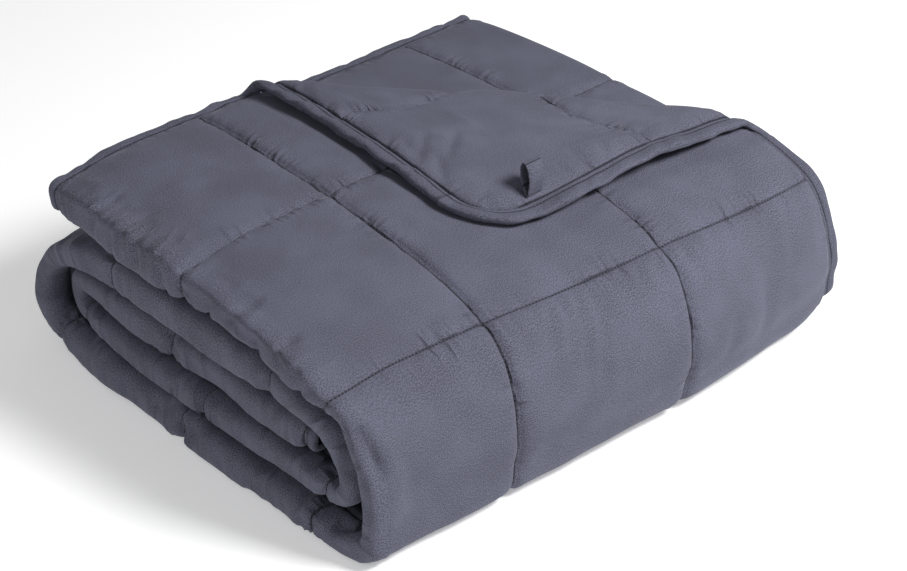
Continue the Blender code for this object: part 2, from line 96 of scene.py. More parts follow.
def smooth_step(low: float, high: float, x: Array) -> Array:
    """Rise evenly from 0 to 1 between two values.

    Args:
        low: Where the rise starts.
        high: Where it ends; it may lie below low, and then the result falls.
        x: The values to look up.

    Returns:
        The heights, from 0 to 1.
    """
    t = np.clip((np.asarray(x, float) - low) / (high - low), 0.0, 1.0)
    return t * t * (3.0 - 2.0 * t)


def soft_noise(x: Array, y: Array, seed: int) -> Array:
    """Make smooth, repeatable unevenness with bumps about one unit apart.

    Args:
        x: First coordinate, in bumps.
        y: Second coordinate, in bumps.
        seed: Which unevenness.

    Returns:
        Heights from -1 to 1.
    """
    period = 128
    heights = np.random.default_rng(seed).uniform(-1.0, 1.0, (period, period))
    column, row = np.floor(x).astype(int), np.floor(y).astype(int)
    part_x, part_y = smooth_step(0.0, 1.0, x - column), smooth_step(0.0, 1.0, y - row)
    low = heights[column % period, row % period]
    right = heights[(column + 1) % period, row % period]
    above = heights[column % period, (row + 1) % period]
    corner = heights[(column + 1) % period, (row + 1) % period]
    near = low + (right - low) * part_x
    return near + (above + (corner - above) * part_x - near) * part_y


def along_table(table: tuple[tuple[float, ...], ...], at: Array) -> Array:
    """Read a table of stations smoothly between its rows.

    Args:
        table: Rows whose first column rises.
        at: Values of the first column to look up.

    Returns:
        The other columns there, as the result's last axis.
    """
    rows = np.array(table, float)
    knots, values = rows[:, 0], rows[:, 1:]
    slopes = np.gradient(values, axis=0)
    slopes[1:-1] = (values[2:] - values[:-2]) / (knots[2:] - knots[:-2])[:, None]
    slopes[0] = (values[1] - values[0]) / (knots[1] - knots[0])
    slopes[-1] = (values[-1] - values[-2]) / (knots[-1] - knots[-2])
    at = np.asarray(at, float)
    i = np.clip(np.searchsorted(knots, at) - 1, 0, len(knots) - 2)
    step = (knots[i + 1] - knots[i])[..., None]
    t = (at - knots[i])[..., None] / step
    return (
        (1 + 2 * t) * (1 - t) ** 2 * values[i]
        + t * (1 - t) ** 2 * step * slopes[i]
        + t * t * (3 - 2 * t) * values[i + 1]
        + t * t * (t - 1) * step * slopes[i + 1]
    )


def unit(vectors: Array) -> Array:
    """Scale each row to length 1."""
    return vectors / np.maximum(np.linalg.norm(vectors, axis=-1, keepdims=True), 1e-12)


def run_along(points: Array) -> Array:
    """Give how far along a line each of its points lies."""
    return np.concatenate(([0.0], np.cumsum(np.linalg.norm(np.diff(points, axis=0), axis=1))))


def in_scene(name: str, data: bpy.types.ID) -> bpy.types.Object:
    """Add an object with this data to the scene."""
    obj = bpy.data.objects.new(name, data)
    bpy.context.scene.collection.objects.link(obj)
    return obj


# ---------------------------------------------------------------- the flat blanket


@dataclass(frozen=True)
class FlatBlanket:
    """The cut and quilting lines of the blanket before it is folded."""

    square: float = 0.1524
    squares_across: int = 8
    squares_along: int = 12
    binding: float = 0.0115
    corner_radius: float = 0.045
    piece_gap: float = 0.0003

    @property
    def width(self) -> float:
        """The cut width, binding included."""
        return self.squares_across * self.square + 2 * self.binding

    @property
    def length(self) -> float:
        """The cut length, binding included."""
        return self.squares_along * self.square + 2 * self.binding

    def squares(self, distance: Array) -> Array:
        """Count quilted squares from the first seam line, across or along."""
        return (np.asarray(distance, float) - self.binding) / self.square

    def to_seam(self, distance: Array) -> Array:
        """Measure how far a point lies past its nearest seam line, less than 0 before it."""
        part = self.squares(distance)
        return (part - np.round(part)) * self.square

    def round_corners(self, u: Array, v: Array) -> tuple[Array, Array]:
        """Draw the square corners in to arcs, with lines near the edge kept parallel to it.

        Args:
            u: Places across.
            v: Places along.

        Returns:
            The places with the corners rounded.
        """
        radius = self.corner_radius
        across = radius - np.minimum(u, self.width - u)
        along = radius - np.minimum(v, self.length - v)
        inside = (across > 0.0) & (along > 0.0)
        reach = np.maximum(np.hypot(across, along), 1e-9)
        scale = np.where(inside, np.maximum(across, along) / reach, 1.0)
        near_u, near_v = radius - across * scale, radius - along * scale
        u = np.where(inside, np.where(u < self.width / 2, near_u, self.width - near_u), u)
        v = np.where(inside, np.where(v < self.length / 2, near_v, self.length - near_v), v)
        return u, v


@dataclass(frozen=True)
class ThirdsFold:
    """The fold of the width in three: top ply, base ply, and the inner ply between them."""

    ply_pitch: float = 0.0094
    strip_width: float = 0.440
    inset: float = 0.046
    skew: float = 0.020
    skew_squares: Pair = (0.0, 1.6)
    overhang_droop: float = 1.0
    take_up: float = 0.94
    squareness: float = 3.2

    @property
    def inner_x(self) -> float:
        """Where the inner plies' folded edge turns, across the strip."""
        return self.strip_width - self.inset - self.ply_pitch / 2

    @property
    def left_turn(self) -> Pair:
        """The stretch of the width that turns around the left side."""
        start = self.strip_width - self.ply_pitch
        return start, start + math.pi * self.ply_pitch

    @property
    def right_turn(self) -> Pair:
        """The stretch of the width that turns around the inner fold at the right."""
        start = self.left_turn[1] + self.inner_x - self.ply_pitch
        return start, start + math.pi * self.ply_pitch / 2

    def fold(self, u: Array, w: Array) -> tuple[Array, Array]:
        """Fold points of the flat blanket across its width.

        Args:
            u: Places across the flat blanket.
            w: Places through it.

        Returns:
            Places across the strip, and heights in plies above the strip's middle.
        """
        pitch, lane = self.ply_pitch, w / self.ply_pitch
        left, right = self.left_turn, self.right_turn
        x, ply = self.strip_width - u, 1.0 + lane
        angle = np.clip((u - left[0]) / pitch, 0.0, math.pi)
        sine, cosine, power = np.sin(angle), np.cos(angle), self.squareness
        reach = (1.0 + lane) / (np.abs(sine) ** power + np.abs(cosine) ** power) ** (1.0 / power)
        x = np.where(u > left[0], pitch - pitch * reach * sine, x)
        ply = np.where(u > left[0], reach * cosine, ply)
        x = np.where(u > left[1], pitch + (u - left[1]), x)
        angle = np.clip((u - right[0]) / (pitch / 2), 0.0, math.pi)
        x = np.where(u > right[0], self.inner_x + pitch * (0.5 + lane) * np.sin(angle), x)
        ply = np.where(u > right[0], -0.5 - (0.5 + lane) * np.cos(angle), ply)
        x = np.where(u > right[1], self.inner_x - self.take_up * (u - right[1]), x)
        return x, ply

    def draw_in(self, squares: Array, u: Array, x: Array) -> Array:
        """Draw the inner fold's edge in at the back and out toward the front of the top layer."""
        start, end = self.skew_squares
        skew = smooth_step(start - 1.0, end, squares) - 0.5
        fades = 1.0 - smooth_step(end, 2 * end, squares)
        share = np.clip(x / self.strip_width, 0.0, 1.0)
        return x + self.skew * skew * fades * np.where(u > self.strip_width, share, 0.0)

    def droop(self, u: Array, x: Array, ply: Array) -> Array:
        """Let the top ply hang down where it reaches past the inner fold."""
        hangs = smooth_step(self.inner_x, self.strip_width, x)
        return ply - self.overhang_droop * np.where(u < self.strip_width - 2 * self.ply_pitch, hangs, 0.0)


@dataclass(frozen=True)
class TurnedCorner:
    """The corner of the top ply that is turned back over a slanting, slightly bowed crease."""

    from_corner_back: float = 0.280
    from_corner_side: float = 0.284
    radius: float = 0.0060
    settle: float = 0.070
    rest_height: float = 0.0106
    bow: tuple[Pair, ...] = (
        # share of the way along the crease, how far it is bowed toward the front
        (0.00, 0.000), (0.08, 0.007), (0.20, 0.019), (0.36, 0.020), (0.50, 0.015), (0.60, 0.016),
        (0.72, 0.020), (0.86, 0.011), (1.00, 0.000),
    )
    bow_fades: Pair = (0.05, 1.0)
    narrowest: float = 0.005
    clear: Pair = (1.0, 1.25)
    least_reach: float = 0.002
    lift: tuple[Pair, ...] = (
        # share of the way along the crease, how much higher the corner rests past it
        (0.00, 0.003), (0.14, 0.001), (0.40, 0.000), (0.56, 0.001), (0.74, 0.012), (0.90, 0.018),
        (1.00, 0.006),
    )

    @property
    def normal(self) -> Pair:
        """The level direction square to the crease, in x and v, toward the corner."""
        size = math.hypot(self.from_corner_back, self.from_corner_side)
        return self.from_corner_side / size, -self.from_corner_back / size

    @property
    def bend(self) -> float:
        """How much cloth the crease takes up."""
        return math.pi * self.radius

    def share(self, u: Array, v: Array) -> Array:
        """Give how far along the crease points lie, from 0 at the back edge to 1 at the side."""
        back, side = self.from_corner_back, self.from_corner_side
        return np.clip(((back - u) * back + v * side) / (back**2 + side**2), 0.0, 1.0)

    def width(self, share: Array) -> Array:
        """Give how far the corner reaches past the crease, at shares of the way along it."""
        back, side = self.from_corner_back, self.from_corner_side
        widest = back**2 / (back**2 + side**2)
        part = np.minimum(share / widest, (1.0 - share) / (1.0 - widest))
        return np.maximum(back * self.normal[0] * part, self.narrowest)

    def bared(self, u: Array, v: Array) -> Array:
        """Say how far the ply's outside is clear of the corner that lies on it, from 0 to 1."""
        share = self.share(u, v)
        reach = self.width(share) - 2.0 * along_table(self.bow, share)[..., 0]
        return smooth_step(*self.clear, -self.past(u, v) / np.maximum(reach, self.least_reach))

    def past(self, u: Array, v: Array) -> Array:
        """Measure how far points of the flat blanket lie past the crease, toward the corner."""
        straight = (self.from_corner_back - u) * self.normal[0] + v * self.normal[1]
        return straight + along_table(self.bow, self.share(u, v))[..., 0]

    def angle(self, distance: Array, rest: Array) -> Array:
        """Say how far the ply has turned, in radians.

        Args:
            distance: Distances past the crease.
            rest: The height over the ply below at which it comes to rest.

        Returns:
            The angles: a half turn where it has come to rest.
        """
        drop = 2.0 * (2.0 * self.radius - rest) / self.settle
        beyond = np.clip((distance - self.bend) / self.settle, 0.0, 1.0)
        return math.pi * np.clip(distance / self.bend, 0.0, 1.0) + drop * np.sin(math.pi * beyond) ** 2

    def turn(self, past: Array, share: Array, w: Array) -> tuple[Array, Array]:
        """Carry points around the crease.

        Args:
            past: Distances past the crease, above 0.
            share: How far along the crease the points lie.
            w: Places through the cloth.

        Returns:
            How far each point shifts toward the corner, and its height over the ply it left.
        """
        steps = 48
        rest = self.rest_height + along_table(self.lift, share)[..., 0]
        bow = along_table(self.bow, share)[..., 0]
        run = past - 2.0 * bow * smooth_step(*self.bow_fades, past / self.width(share))
        path = self.angle(run[:, None] * (np.arange(steps) + 0.5) / steps, rest[:, None])
        angle = self.angle(run, rest)
        out = np.cos(path).mean(axis=1) * run
        up = np.sin(path).mean(axis=1) * run
        return out - past - w * np.sin(angle), up + w * np.cos(angle)


@dataclass(frozen=True)
class LayerRoll:
    """The way the folded strip is rolled over itself into layers, seen from its left side.

    Each row of stations gives the squares along the strip, the middle's place, the thickness
    of its three plies, and how far the strip reaches to the left and right.
    """

    stations: tuple[tuple[float, ...], ...] = (
        # top layer, from the back to the front
        (-0.08, 0.3385, 0.1312, 0.0284, 0.003, 0.440),
        (0.17, 0.3032, 0.1350, 0.0302, 0.000, 0.440),
        (0.57, 0.2444, 0.1358, 0.0306, -0.002, 0.440),
        (1.02, 0.1810, 0.1348, 0.0294, -0.002, 0.439),
        (1.35, 0.1358, 0.1312, 0.0262, -0.002, 0.440),
        (1.67, 0.0905, 0.1246, 0.0220, -0.001, 0.442),
        (1.94, 0.0543, 0.1150, 0.0186, 0.000, 0.443),
        (2.09, 0.0326, 0.1026, 0.0164, 0.002, 0.443),
        # around the front
        (2.24, 0.0190, 0.0796, 0.0149, 0.004, 0.443),
        (2.38, 0.0113, 0.0570, 0.0145, 0.004, 0.442),
        (2.52, 0.0078, 0.0353, 0.0145, 0.003, 0.441),
        (2.66, 0.0118, 0.0177, 0.0154, -0.001, 0.439),
        # bottom layer, from the front to the back
        (2.80, 0.0299, 0.0105, 0.0181, -0.004, 0.438),
        (3.02, 0.0588, 0.0118, 0.0226, -0.006, 0.436),
        (3.32, 0.0995, 0.0146, 0.0280, -0.007, 0.434),
        (3.94, 0.1810, 0.0152, 0.0290, -0.007, 0.429),
        (4.58, 0.2715, 0.0150, 0.0286, -0.006, 0.422),
        (4.93, 0.3213, 0.0145, 0.0262, -0.004, 0.416),
        # around the back
        (5.09, 0.3439, 0.0208, 0.0222, 0.001, 0.414),
        (5.24, 0.3535, 0.0407, 0.0206, 0.000, 0.414),
        (5.40, 0.3496, 0.0634, 0.0212, 0.000, 0.413),
        (5.59, 0.3296, 0.0842, 0.0256, 0.000, 0.413),
        # fourth layer, from the back to the front
        (5.85, 0.2896, 0.0966, 0.0300, 0.000, 0.414),
        (6.19, 0.2353, 0.0998, 0.0310, 0.000, 0.418),
        (6.51, 0.1810, 0.1004, 0.0312, 0.000, 0.422),
        (6.78, 0.1358, 0.1002, 0.0290, 0.000, 0.425),
        (7.01, 0.0995, 0.0990, 0.0246, 0.000, 0.427),
        (7.22, 0.0706, 0.0950, 0.0181, 0.002, 0.427),
        # around the front, inside the outer turn
        (7.40, 0.0500, 0.0872, 0.0149, 0.004, 0.427),
        (7.57, 0.0375, 0.0722, 0.0145, 0.005, 0.427),
        (7.74, 0.0305, 0.0551, 0.0145, 0.005, 0.427),
        (7.88, 0.0352, 0.0417, 0.0163, 0.004, 0.427),
        # second layer, from the front to the back
        (8.08, 0.0581, 0.0405, 0.0180, 0.001, 0.425),
        (8.45, 0.0995, 0.0430, 0.0212, 0.000, 0.424),
        (9.10, 0.1810, 0.0432, 0.0220, -0.002, 0.420),
        (9.73, 0.2715, 0.0430, 0.0214, 0.000, 0.414),
        (10.00, 0.3082, 0.0430, 0.0204, 0.004, 0.413),
        # the innermost turn, at the back
        (10.08, 0.3188, 0.0463, 0.0204, 0.007, 0.412),
        (10.15, 0.3232, 0.0558, 0.0204, 0.009, 0.412),
        (10.22, 0.3188, 0.0653, 0.0204, 0.007, 0.412),
        # third layer, from the back to the front
        (10.30, 0.3082, 0.0686, 0.0208, 0.005, 0.413),
        (10.56, 0.2715, 0.0692, 0.0236, 0.003, 0.414),
        (11.19, 0.1810, 0.0694, 0.0258, 0.003, 0.418),
        (11.52, 0.1358, 0.0692, 0.0256, 0.003, 0.420),
        (11.85, 0.0905, 0.0680, 0.0240, 0.004, 0.422),
        (12.08, 0.0620, 0.0675, 0.0215, 0.005, 0.424),
    )
    probe_squares: float = 0.004
    bend_step_squares: float = 0.03

    def lay(self, squares: Array, x: Array, ply: Array, strip_width: float) -> tuple[Array, Array, Array]:
        """Lay points of the folded strip along the roll.

        Args:
            squares: Places along the strip, in quilted squares.
            x: Places across the strip.
            ply: Heights over the strip's middle, in plies.
            strip_width: The width of the strip that x is measured in.

        Returns:
            Places in the pile, before it settles.
        """
        y, z, thick, left, right = np.moveaxis(along_table(self.stations, squares), -1, 0)
        ahead = along_table(self.stations, squares + self.probe_squares)
        behind = along_table(self.stations, squares - self.probe_squares)
        run = unit((ahead - behind)[..., :2])
        offset = ply * thick / 3.0
        return left + x * (right - left) / strip_width, y + offset * run[..., 1], z - offset * run[..., 0]

    def bend_radius(self, squares: Array) -> Array:
        """Give the radius to which the strip's middle is bent, large where it lies straight."""
        step = self.bend_step_squares
        path = np.stack([along_table(self.stations, squares + k * step)[..., :2] for k in (-1, 0, 1)])
        first, second = path[1] - path[0], path[2] - path[1]
        turned = np.arctan2(
            first[..., 0] * second[..., 1] - first[..., 1] * second[..., 0],
            (first * second).sum(axis=-1),
        )
        return np.linalg.norm(first, axis=-1) / np.maximum(np.abs(turned), 1e-3)


@dataclass(frozen=True)
class Settling:
    """How the whole pile sinks, bulges and is pressed flat underneath."""

    sink: float = 0.045
    sink_x: Pair = (0.06, 0.43)
    bulge: float = 0.026
    bulge_x: float = 0.29
    bulge_half_width: float = 0.30
    bulge_depth: float = 0.16
    bulge_heights: Pair = (-0.25, 0.4)
    droop: float = 0.006
    droop_reach: float = 0.055
    toe: float = 0.013
    toe_height: float = 0.034
    toe_depth: float = 0.075
    pressed: float = 0.0025
    pile_height: float = 0.14
    highest: float = 1.2
    origin: Pair = (0.216, 0.170)

    def settle(self, x: Array, y: Array, z: Array) -> tuple[Array, Array, Array]:
        """Let points of the rolled strip settle, and measure them from the part's origin."""
        height = np.clip(z / self.pile_height, 0.0, self.highest)
        z = z * (1.0 - self.sink * smooth_step(*self.sink_x, x))
        bulge = 1.0 - smooth_step(0.0, self.bulge_half_width, np.abs(x - self.bulge_x))
        near_front = 1.0 - smooth_step(0.0, self.bulge_depth, y)
        y = y - self.bulge * bulge * near_front * smooth_step(*self.bulge_heights, height)
        low = 1.0 - smooth_step(0.0, self.toe_height, z)
        y = y - self.toe * low * (1.0 - smooth_step(0.0, self.toe_depth, y))
        z = z - self.droop * smooth_step(self.droop_reach, 0.0, x) * height**2
        z = np.where(z < self.pressed, 0.0, z - self.pressed)
        return x - self.origin[0], y - self.origin[1], z


@dataclass(frozen=True)
class Slip:
    """How far the top ply's cloth has slipped within its own surface, down the front."""

    to_left: float = 0.0135
    left_starts: Pair = (1.75, 2.60)
    to_front: float = 0.0095
    front_x: Pair = (0.26, 0.44)
    front_starts: Pair = (1.45, 2.00)
    ends: Pair = (2.85, 3.60)

    def shift(self, squares: Array, x: Array, width: float) -> tuple[Array, Array]:
        """Give the slip across the strip and along it.

        Args:
            squares: Places along the strip, in quilted squares.
            x: Places across it.
            width: Its width.

        Returns:
            The shifts across and along, in metres.
        """
        fades = smooth_step(*reversed(self.ends), squares)
        across = np.sin(math.pi * np.clip(x / width, 0.0, 1.0)) * smooth_step(*self.left_starts, squares)
        along = smooth_step(*self.front_x, x) * smooth_step(*self.front_starts, squares)
        return -self.to_left * across * fades, self.to_front * along * fades


@dataclass(frozen=True)
class FoldedBlanket:
    """The whole way from a point of the flat blanket to its place in the pile."""

    flat: FlatBlanket = field(default_factory=FlatBlanket)
    thirds: ThirdsFold = field(default_factory=ThirdsFold)
    corner: TurnedCorner = field(default_factory=TurnedCorner)
    roll: LayerRoll = field(default_factory=LayerRoll)
    settling: Settling = field(default_factory=Settling)
    slip: Slip = field(default_factory=Slip)

    def place(self, u: Array, v: Array, w: Array) -> Array:
        """Find where points of the flat blanket lie in the pile.

        Args:
            u: Places across, with the corners already rounded.
            v: Places along.
            w: Places through the thickness.

        Returns:
            One row of x, y and z for each point.
        """
        u, v, w = (np.asarray(a, float) for a in (u, v, w))
        x, ply = self.thirds.fold(u, w)
        x = self.thirds.draw_in(self.flat.squares(v), u, x)
        past = self.corner.past(u, v)
        turned = past > 0.0
        share = self.corner.share(u[turned], v[turned])
        shift, height = self.corner.turn(past[turned], share, w[turned])
        x, v, ply = x.copy(), v.copy(), ply.copy()
        x[turned] += shift * self.corner.normal[0]
        v[turned] += shift * self.corner.normal[1]
        ply[turned] = 1.0 + height / self.thirds.ply_pitch
        ply = self.thirds.droop(u, x, ply)
        across, along = self.slip.shift(self.flat.squares(v), x, self.thirds.strip_width)
        outer = u < self.thirds.left_turn[0]
        x, v = np.where(outer, x + across, x), np.where(outer, v + along, v)
        laid = self.roll.lay(self.flat.squares(v), x, ply, self.thirds.strip_width)
        return np.stack(self.settling.settle(*laid), axis=1)

    def outward(self, u: Array, v: Array, w: Array, side: Side) -> Array:
        """Give the unit direction that points out of the cloth on one side of it."""
        probe = 2e-4
        return unit(self.place(u, v, w + side.value * probe) - self.place(u, v, w))


# ---------------------------------------------------------------- the quilting's relief


@dataclass(frozen=True)
class Crease:
    """One soft trough or ridge, placed on the flat blanket."""

    start: Pair
    end: Pair
    half_width: float
    height: float
    side: Side
    rises: Pair = (-0.12, 0.25)
    falls: Pair = (1.12, 0.75)

    def relief(self, u: Array, v: Array) -> Array:
        """Give its height at points of the flat blanket, fading at both ends."""
        a, b = np.array(self.start), np.array(self.end)
        run = b - a
        t = ((u - a[0]) * run[0] + (v - a[1]) * run[1]) / (run @ run)
        across = np.abs((u - a[0]) * run[1] - (v - a[1]) * run[0]) / math.hypot(*run)
        ends = smooth_step(*self.rises, t) * smooth_step(*self.falls, t)
        return self.height * ends * np.exp(-((across / self.half_width) ** 2))


def hand_creases() -> tuple[Crease, ...]:
    """Place the creases that the photo shows: on the turned corner, the front and the left end."""
    # each row: where it starts and ends on the flat blanket, its half width and its height
    corner = (
        (0.108, 0.024, 0.088, 0.019, 0.0040, -0.0019),
        (0.112, 0.048, 0.079, 0.014, 0.0042, -0.0021),
        (0.106, 0.073, 0.072, 0.034, 0.0040, -0.0019),
        (0.082, 0.033, 0.055, 0.016, 0.0036, -0.0021),
        (0.134, 0.086, 0.100, 0.089, 0.0046, 0.0017),
        (0.012, 0.104, 0.036, 0.112, 0.0030, -0.0019),
        (0.012, 0.121, 0.030, 0.131, 0.0028, -0.0016),
        (0.012, 0.088, 0.030, 0.092, 0.0028, -0.0016),
    )
    face = (
        # the front
        (0.022, 0.298, 0.022, 0.318, 0.0034, -0.0017),
        (0.071, 0.322, 0.077, 0.350, 0.0055, -0.0021),
        (0.052, 0.324, 0.058, 0.356, 0.0048, -0.0023),
        (0.085, 0.348, 0.092, 0.392, 0.0058, -0.0024),
        (0.121, 0.366, 0.129, 0.392, 0.0042, -0.0017),
        (0.268, 0.319, 0.281, 0.345, 0.0034, -0.0020),
        (0.257, 0.319, 0.269, 0.354, 0.0036, -0.0026),
        (0.246, 0.319, 0.259, 0.366, 0.0036, -0.0028),
        (0.232, 0.319, 0.246, 0.374, 0.0040, -0.0030),
        (0.222, 0.319, 0.230, 0.356, 0.0034, -0.0024),
        (0.212, 0.318, 0.216, 0.336, 0.0030, -0.0018),
        (0.192, 0.318, 0.196, 0.334, 0.0028, -0.0017),
        (0.152, 0.318, 0.146, 0.340, 0.0036, -0.0018),
        # the top layer's side: the tuck at its front, then the scallops along its lower edge
        (0.438, 0.328, 0.433, 0.364, 0.0044, -0.0058),
        (0.452, 0.320, 0.446, 0.346, 0.0036, -0.0040),
        (0.436, 0.288, 0.458, 0.298, 0.0036, -0.0034),
        (0.424, 0.264, 0.452, 0.272, 0.0040, -0.0034),
        (0.438, 0.244, 0.462, 0.249, 0.0032, -0.0030),
        (0.420, 0.226, 0.450, 0.218, 0.0042, -0.0032),
        (0.440, 0.197, 0.462, 0.190, 0.0034, -0.0032),
        (0.436, 0.141, 0.460, 0.148, 0.0036, -0.0034),
        (0.424, 0.110, 0.450, 0.118, 0.0042, -0.0032),
        (0.440, 0.089, 0.460, 0.083, 0.0030, -0.0028),
        (0.420, 0.066, 0.450, 0.060, 0.0040, -0.0030),
        # the layers below it
        (0.436, 1.150, 0.441, 1.184, 0.0052, -0.0062),
        (0.438, 1.082, 0.452, 1.074, 0.0036, -0.0034),
        (0.440, 1.422, 0.458, 1.400, 0.0044, -0.0044),
        (0.437, 1.684, 0.450, 1.702, 0.0042, -0.0042),
        # the bottom layer's forked tuck, and the one at the front
        (0.4485, 0.656, 0.4540, 0.624, 0.0044, -0.0052),
        (0.4420, 0.632, 0.4510, 0.594, 0.0048, -0.0056),
        (0.4400, 0.618, 0.4500, 0.608, 0.0036, 0.0024),
        (0.452, 0.454, 0.466, 0.430, 0.0042, -0.0052),
    )
    sides = ((Side.BACK, corner), (Side.FACE, face))
    return tuple(Crease(row[:2], row[2:4], *row[4:], side) for side, rows in sides for row in rows)


@dataclass(frozen=True)
class SeamRelief:
    """How high the puckers, the groove and its shoulders stand at the seams of one direction."""

    pucker: float
    groove: float
    shoulder: float


@dataclass(frozen=True)
class Quilting:
    """The puffs between the seams, the puckers along them and the cloth's unevenness."""

    flat: FlatBlanket
    corner: TurnedCorner
    strip_width: float
    # the smooth puffs, and how much more they crown where they lie open
    puff: float = 0.0088
    seam: float = 0.0030
    fullness: float = 3.0
    crown: float = 0.0034
    crown_ends_squares: float = 2.9
    crown_fades_squares: float = 0.9
    crown_clears_crease: float = 0.030
    # the puckers at the seams, with the groove and its shoulders
    seams: dict[SeamRun, SeamRelief] = field(
        default_factory=lambda: {
            SeamRun.ACROSS: SeamRelief(pucker=0.0017, groove=0.0005, shoulder=0.0004),
            SeamRun.ALONG: SeamRelief(pucker=0.0008, groove=0.0011, shoulder=0.0012),
        }
    )
    pucker_spacing: float = 0.0080
    pucker_widens: float = 6.0
    pucker_crest: float = 0.7
    pucker_swing: float = 1.7
    pucker_reach: float = 0.014
    patch: float = 0.023
    patchiness: float = 0.8
    least_patch: float = 0.25
    groove_half_width: float = 0.0026
    shoulder_place: float = 0.010
    # the cloth's unevenness over each square
    unevenness: float = 0.0019
    unevenness_spacing: float = 0.052
    coarse_share: float = 0.75
    fine_share: float = 0.35
    fine_scale: float = 2.3
    # the ripples, swells and pinches round the left fold
    fold: Pair = (0.408, 0.484)
    fold_rise: float = 0.022
    fold_across: float = 0.03
    fold_wave: float = 0.0013
    fold_wave_spacing: float = 0.0190
    fold_wave_lean: float = 0.35
    fold_wave_crest: float = 0.45
    fold_wave_swing: float = 1.6
    fold_swell: float = 0.0030
    fold_swell_spacing: float = 0.047
    fold_patch: float = 0.083
    fold_patchiness: float = 0.6
    fold_pinch: float = 0.0010
    fold_pinch_half_width: float = 0.0048
    creases: tuple[Crease, ...] = field(default_factory=hand_creases)

    def puffed(self, distance: Array) -> Array:
        """Give 0 at the seams and 1 halfway between them."""
        part = np.mod(self.flat.squares(distance), 1.0)
        return 1.0 - np.abs(2.0 * part - 1.0) ** self.fullness

    def lies_open(self, u: Array, v: Array, side: Side) -> Array:
        """Say how far the outside of the top ply is free to stand out, from 0 to 1."""
        past = self.corner.past(u, v)
        clear = self.corner.bared(u, v)
        if side is Side.BACK:
            clear = np.minimum(1.0, past / self.crown_clears_crease)
        last = self.crown_ends_squares
        fades = 1.0 - smooth_step(last - self.crown_fades_squares, last, self.flat.squares(v))
        return np.where((side.value * past < 0.0) & (u < self.strip_width), clear * fades, 0.0)

    def half_thickness(self, u: Array, v: Array, side: Side) -> Array:
        """Give how far the cloth stands from the middle, between the seams and at them."""
        full = np.sqrt(self.puffed(u) * self.puffed(v))
        flat_puff = 0.5 * (self.seam + (self.puff - self.seam) * full)
        return flat_puff + self.crown * self.lies_open(u, v, side) * full

    def puckers(self, u: Array, v: Array, run: SeamRun, seed: int) -> Array:
        """Make the short ridges that stand square to the seams and fade away from them.

        Args:
            u: Places across the flat blanket.
            v: Places along it.
            run: Which seams.
            seed: Which unevenness.

        Returns:
            Heights over the smooth puff.
        """
        along, over = (u, v) if run is SeamRun.ACROSS else (v, u)
        off = self.flat.to_seam(over)
        away = np.abs(off)
        # each side of each seam reads its own row of the noise
        own_row = np.round(self.flat.squares(over)) * 7.3 + np.sign(off) * 2.1
        spread = self.pucker_spacing * (1.0 + self.pucker_widens * away)
        folds = soft_noise(along / spread, own_row + 50.0, seed)
        ridges = self.pucker_crest - self.pucker_swing * np.abs(folds)
        uneven = 1.0 + self.patchiness * soft_noise(along / self.patch, own_row + 9.0, seed + 1)
        fades = np.exp(-away / (self.pucker_reach * uneven.clip(self.least_patch)))
        relief = self.seams[run]
        total = relief.pucker * ridges * smooth_step(0.0, self.groove_half_width, away) * fades
        shoulder = away / self.shoulder_place
        total += relief.shoulder * shoulder * np.exp(1.0 - shoulder)
        return total - relief.groove * np.exp(-((away / self.groove_half_width) ** 2))

    def fold_waves(self, u: Array, v: Array, seed: int) -> Array:
        """Make the ripples and swells of the cloth where it goes round the left fold."""
        low, high = self.fold
        across = u - 0.5 * (low + high)
        window = smooth_step(low, low + self.fold_rise, u) * smooth_step(high, high - self.fold_rise, u)
        spot = v / self.fold_wave_spacing + self.fold_wave_lean * across / self.fold_wave_spacing
        # the added numbers are rows of the noise that nothing else reads
        folds = soft_noise(spot, 3.0 * across / self.fold_across + 60.0, seed)
        ripples = self.fold_wave_crest - np.abs(folds)
        swell = soft_noise(v / self.fold_swell_spacing, across / self.fold_across + 80.0, seed + 1)
        uneven = soft_noise(v / self.fold_patch, np.full_like(u, 5.5), seed + 2)
        patchy = self.fold_patchiness + self.fold_patchiness * uneven
        pinch = np.exp(-((self.flat.to_seam(v) / self.fold_pinch_half_width) ** 2))
        waves = self.fold_wave * patchy * ripples * self.fold_wave_swing
        swells = self.fold_swell * swell * (1.0 - pinch)
        return window * (waves + swells - self.fold_pinch * pinch)

    def relief(self, u: Array, v: Array, side: Side) -> Array:
        """Give everything that stands over the smooth puffs, in metres.

        Args:
            u: Places across the flat blanket.
            v: Places along it.
            side: Which of the two cloths.

        Returns:
            Heights along the cloth's outward direction.
        """
        seed = 11 if side is Side.FACE else 31
        total = self.puckers(u, v, SeamRun.ACROSS, seed) + self.puckers(u, v, SeamRun.ALONG, seed + 4)
        spacing, scale = self.unevenness_spacing, self.fine_scale
        coarse = soft_noise(u / spacing, v / spacing, seed + 8)
        fine = soft_noise(u * scale / spacing, v * scale / spacing, seed + 9)
        full = np.sqrt(self.puffed(u) * self.puffed(v))
        total = total + self.unevenness * full * (self.coarse_share * coarse + self.fine_share * fine)
        total = total + self.fold_waves(u, v, seed + 20)
        for crease in self.creases:
            if crease.side is side:
                total = total + crease.relief(u, v)
        return total


# ---------------------------------------------------------------- the quilted cover


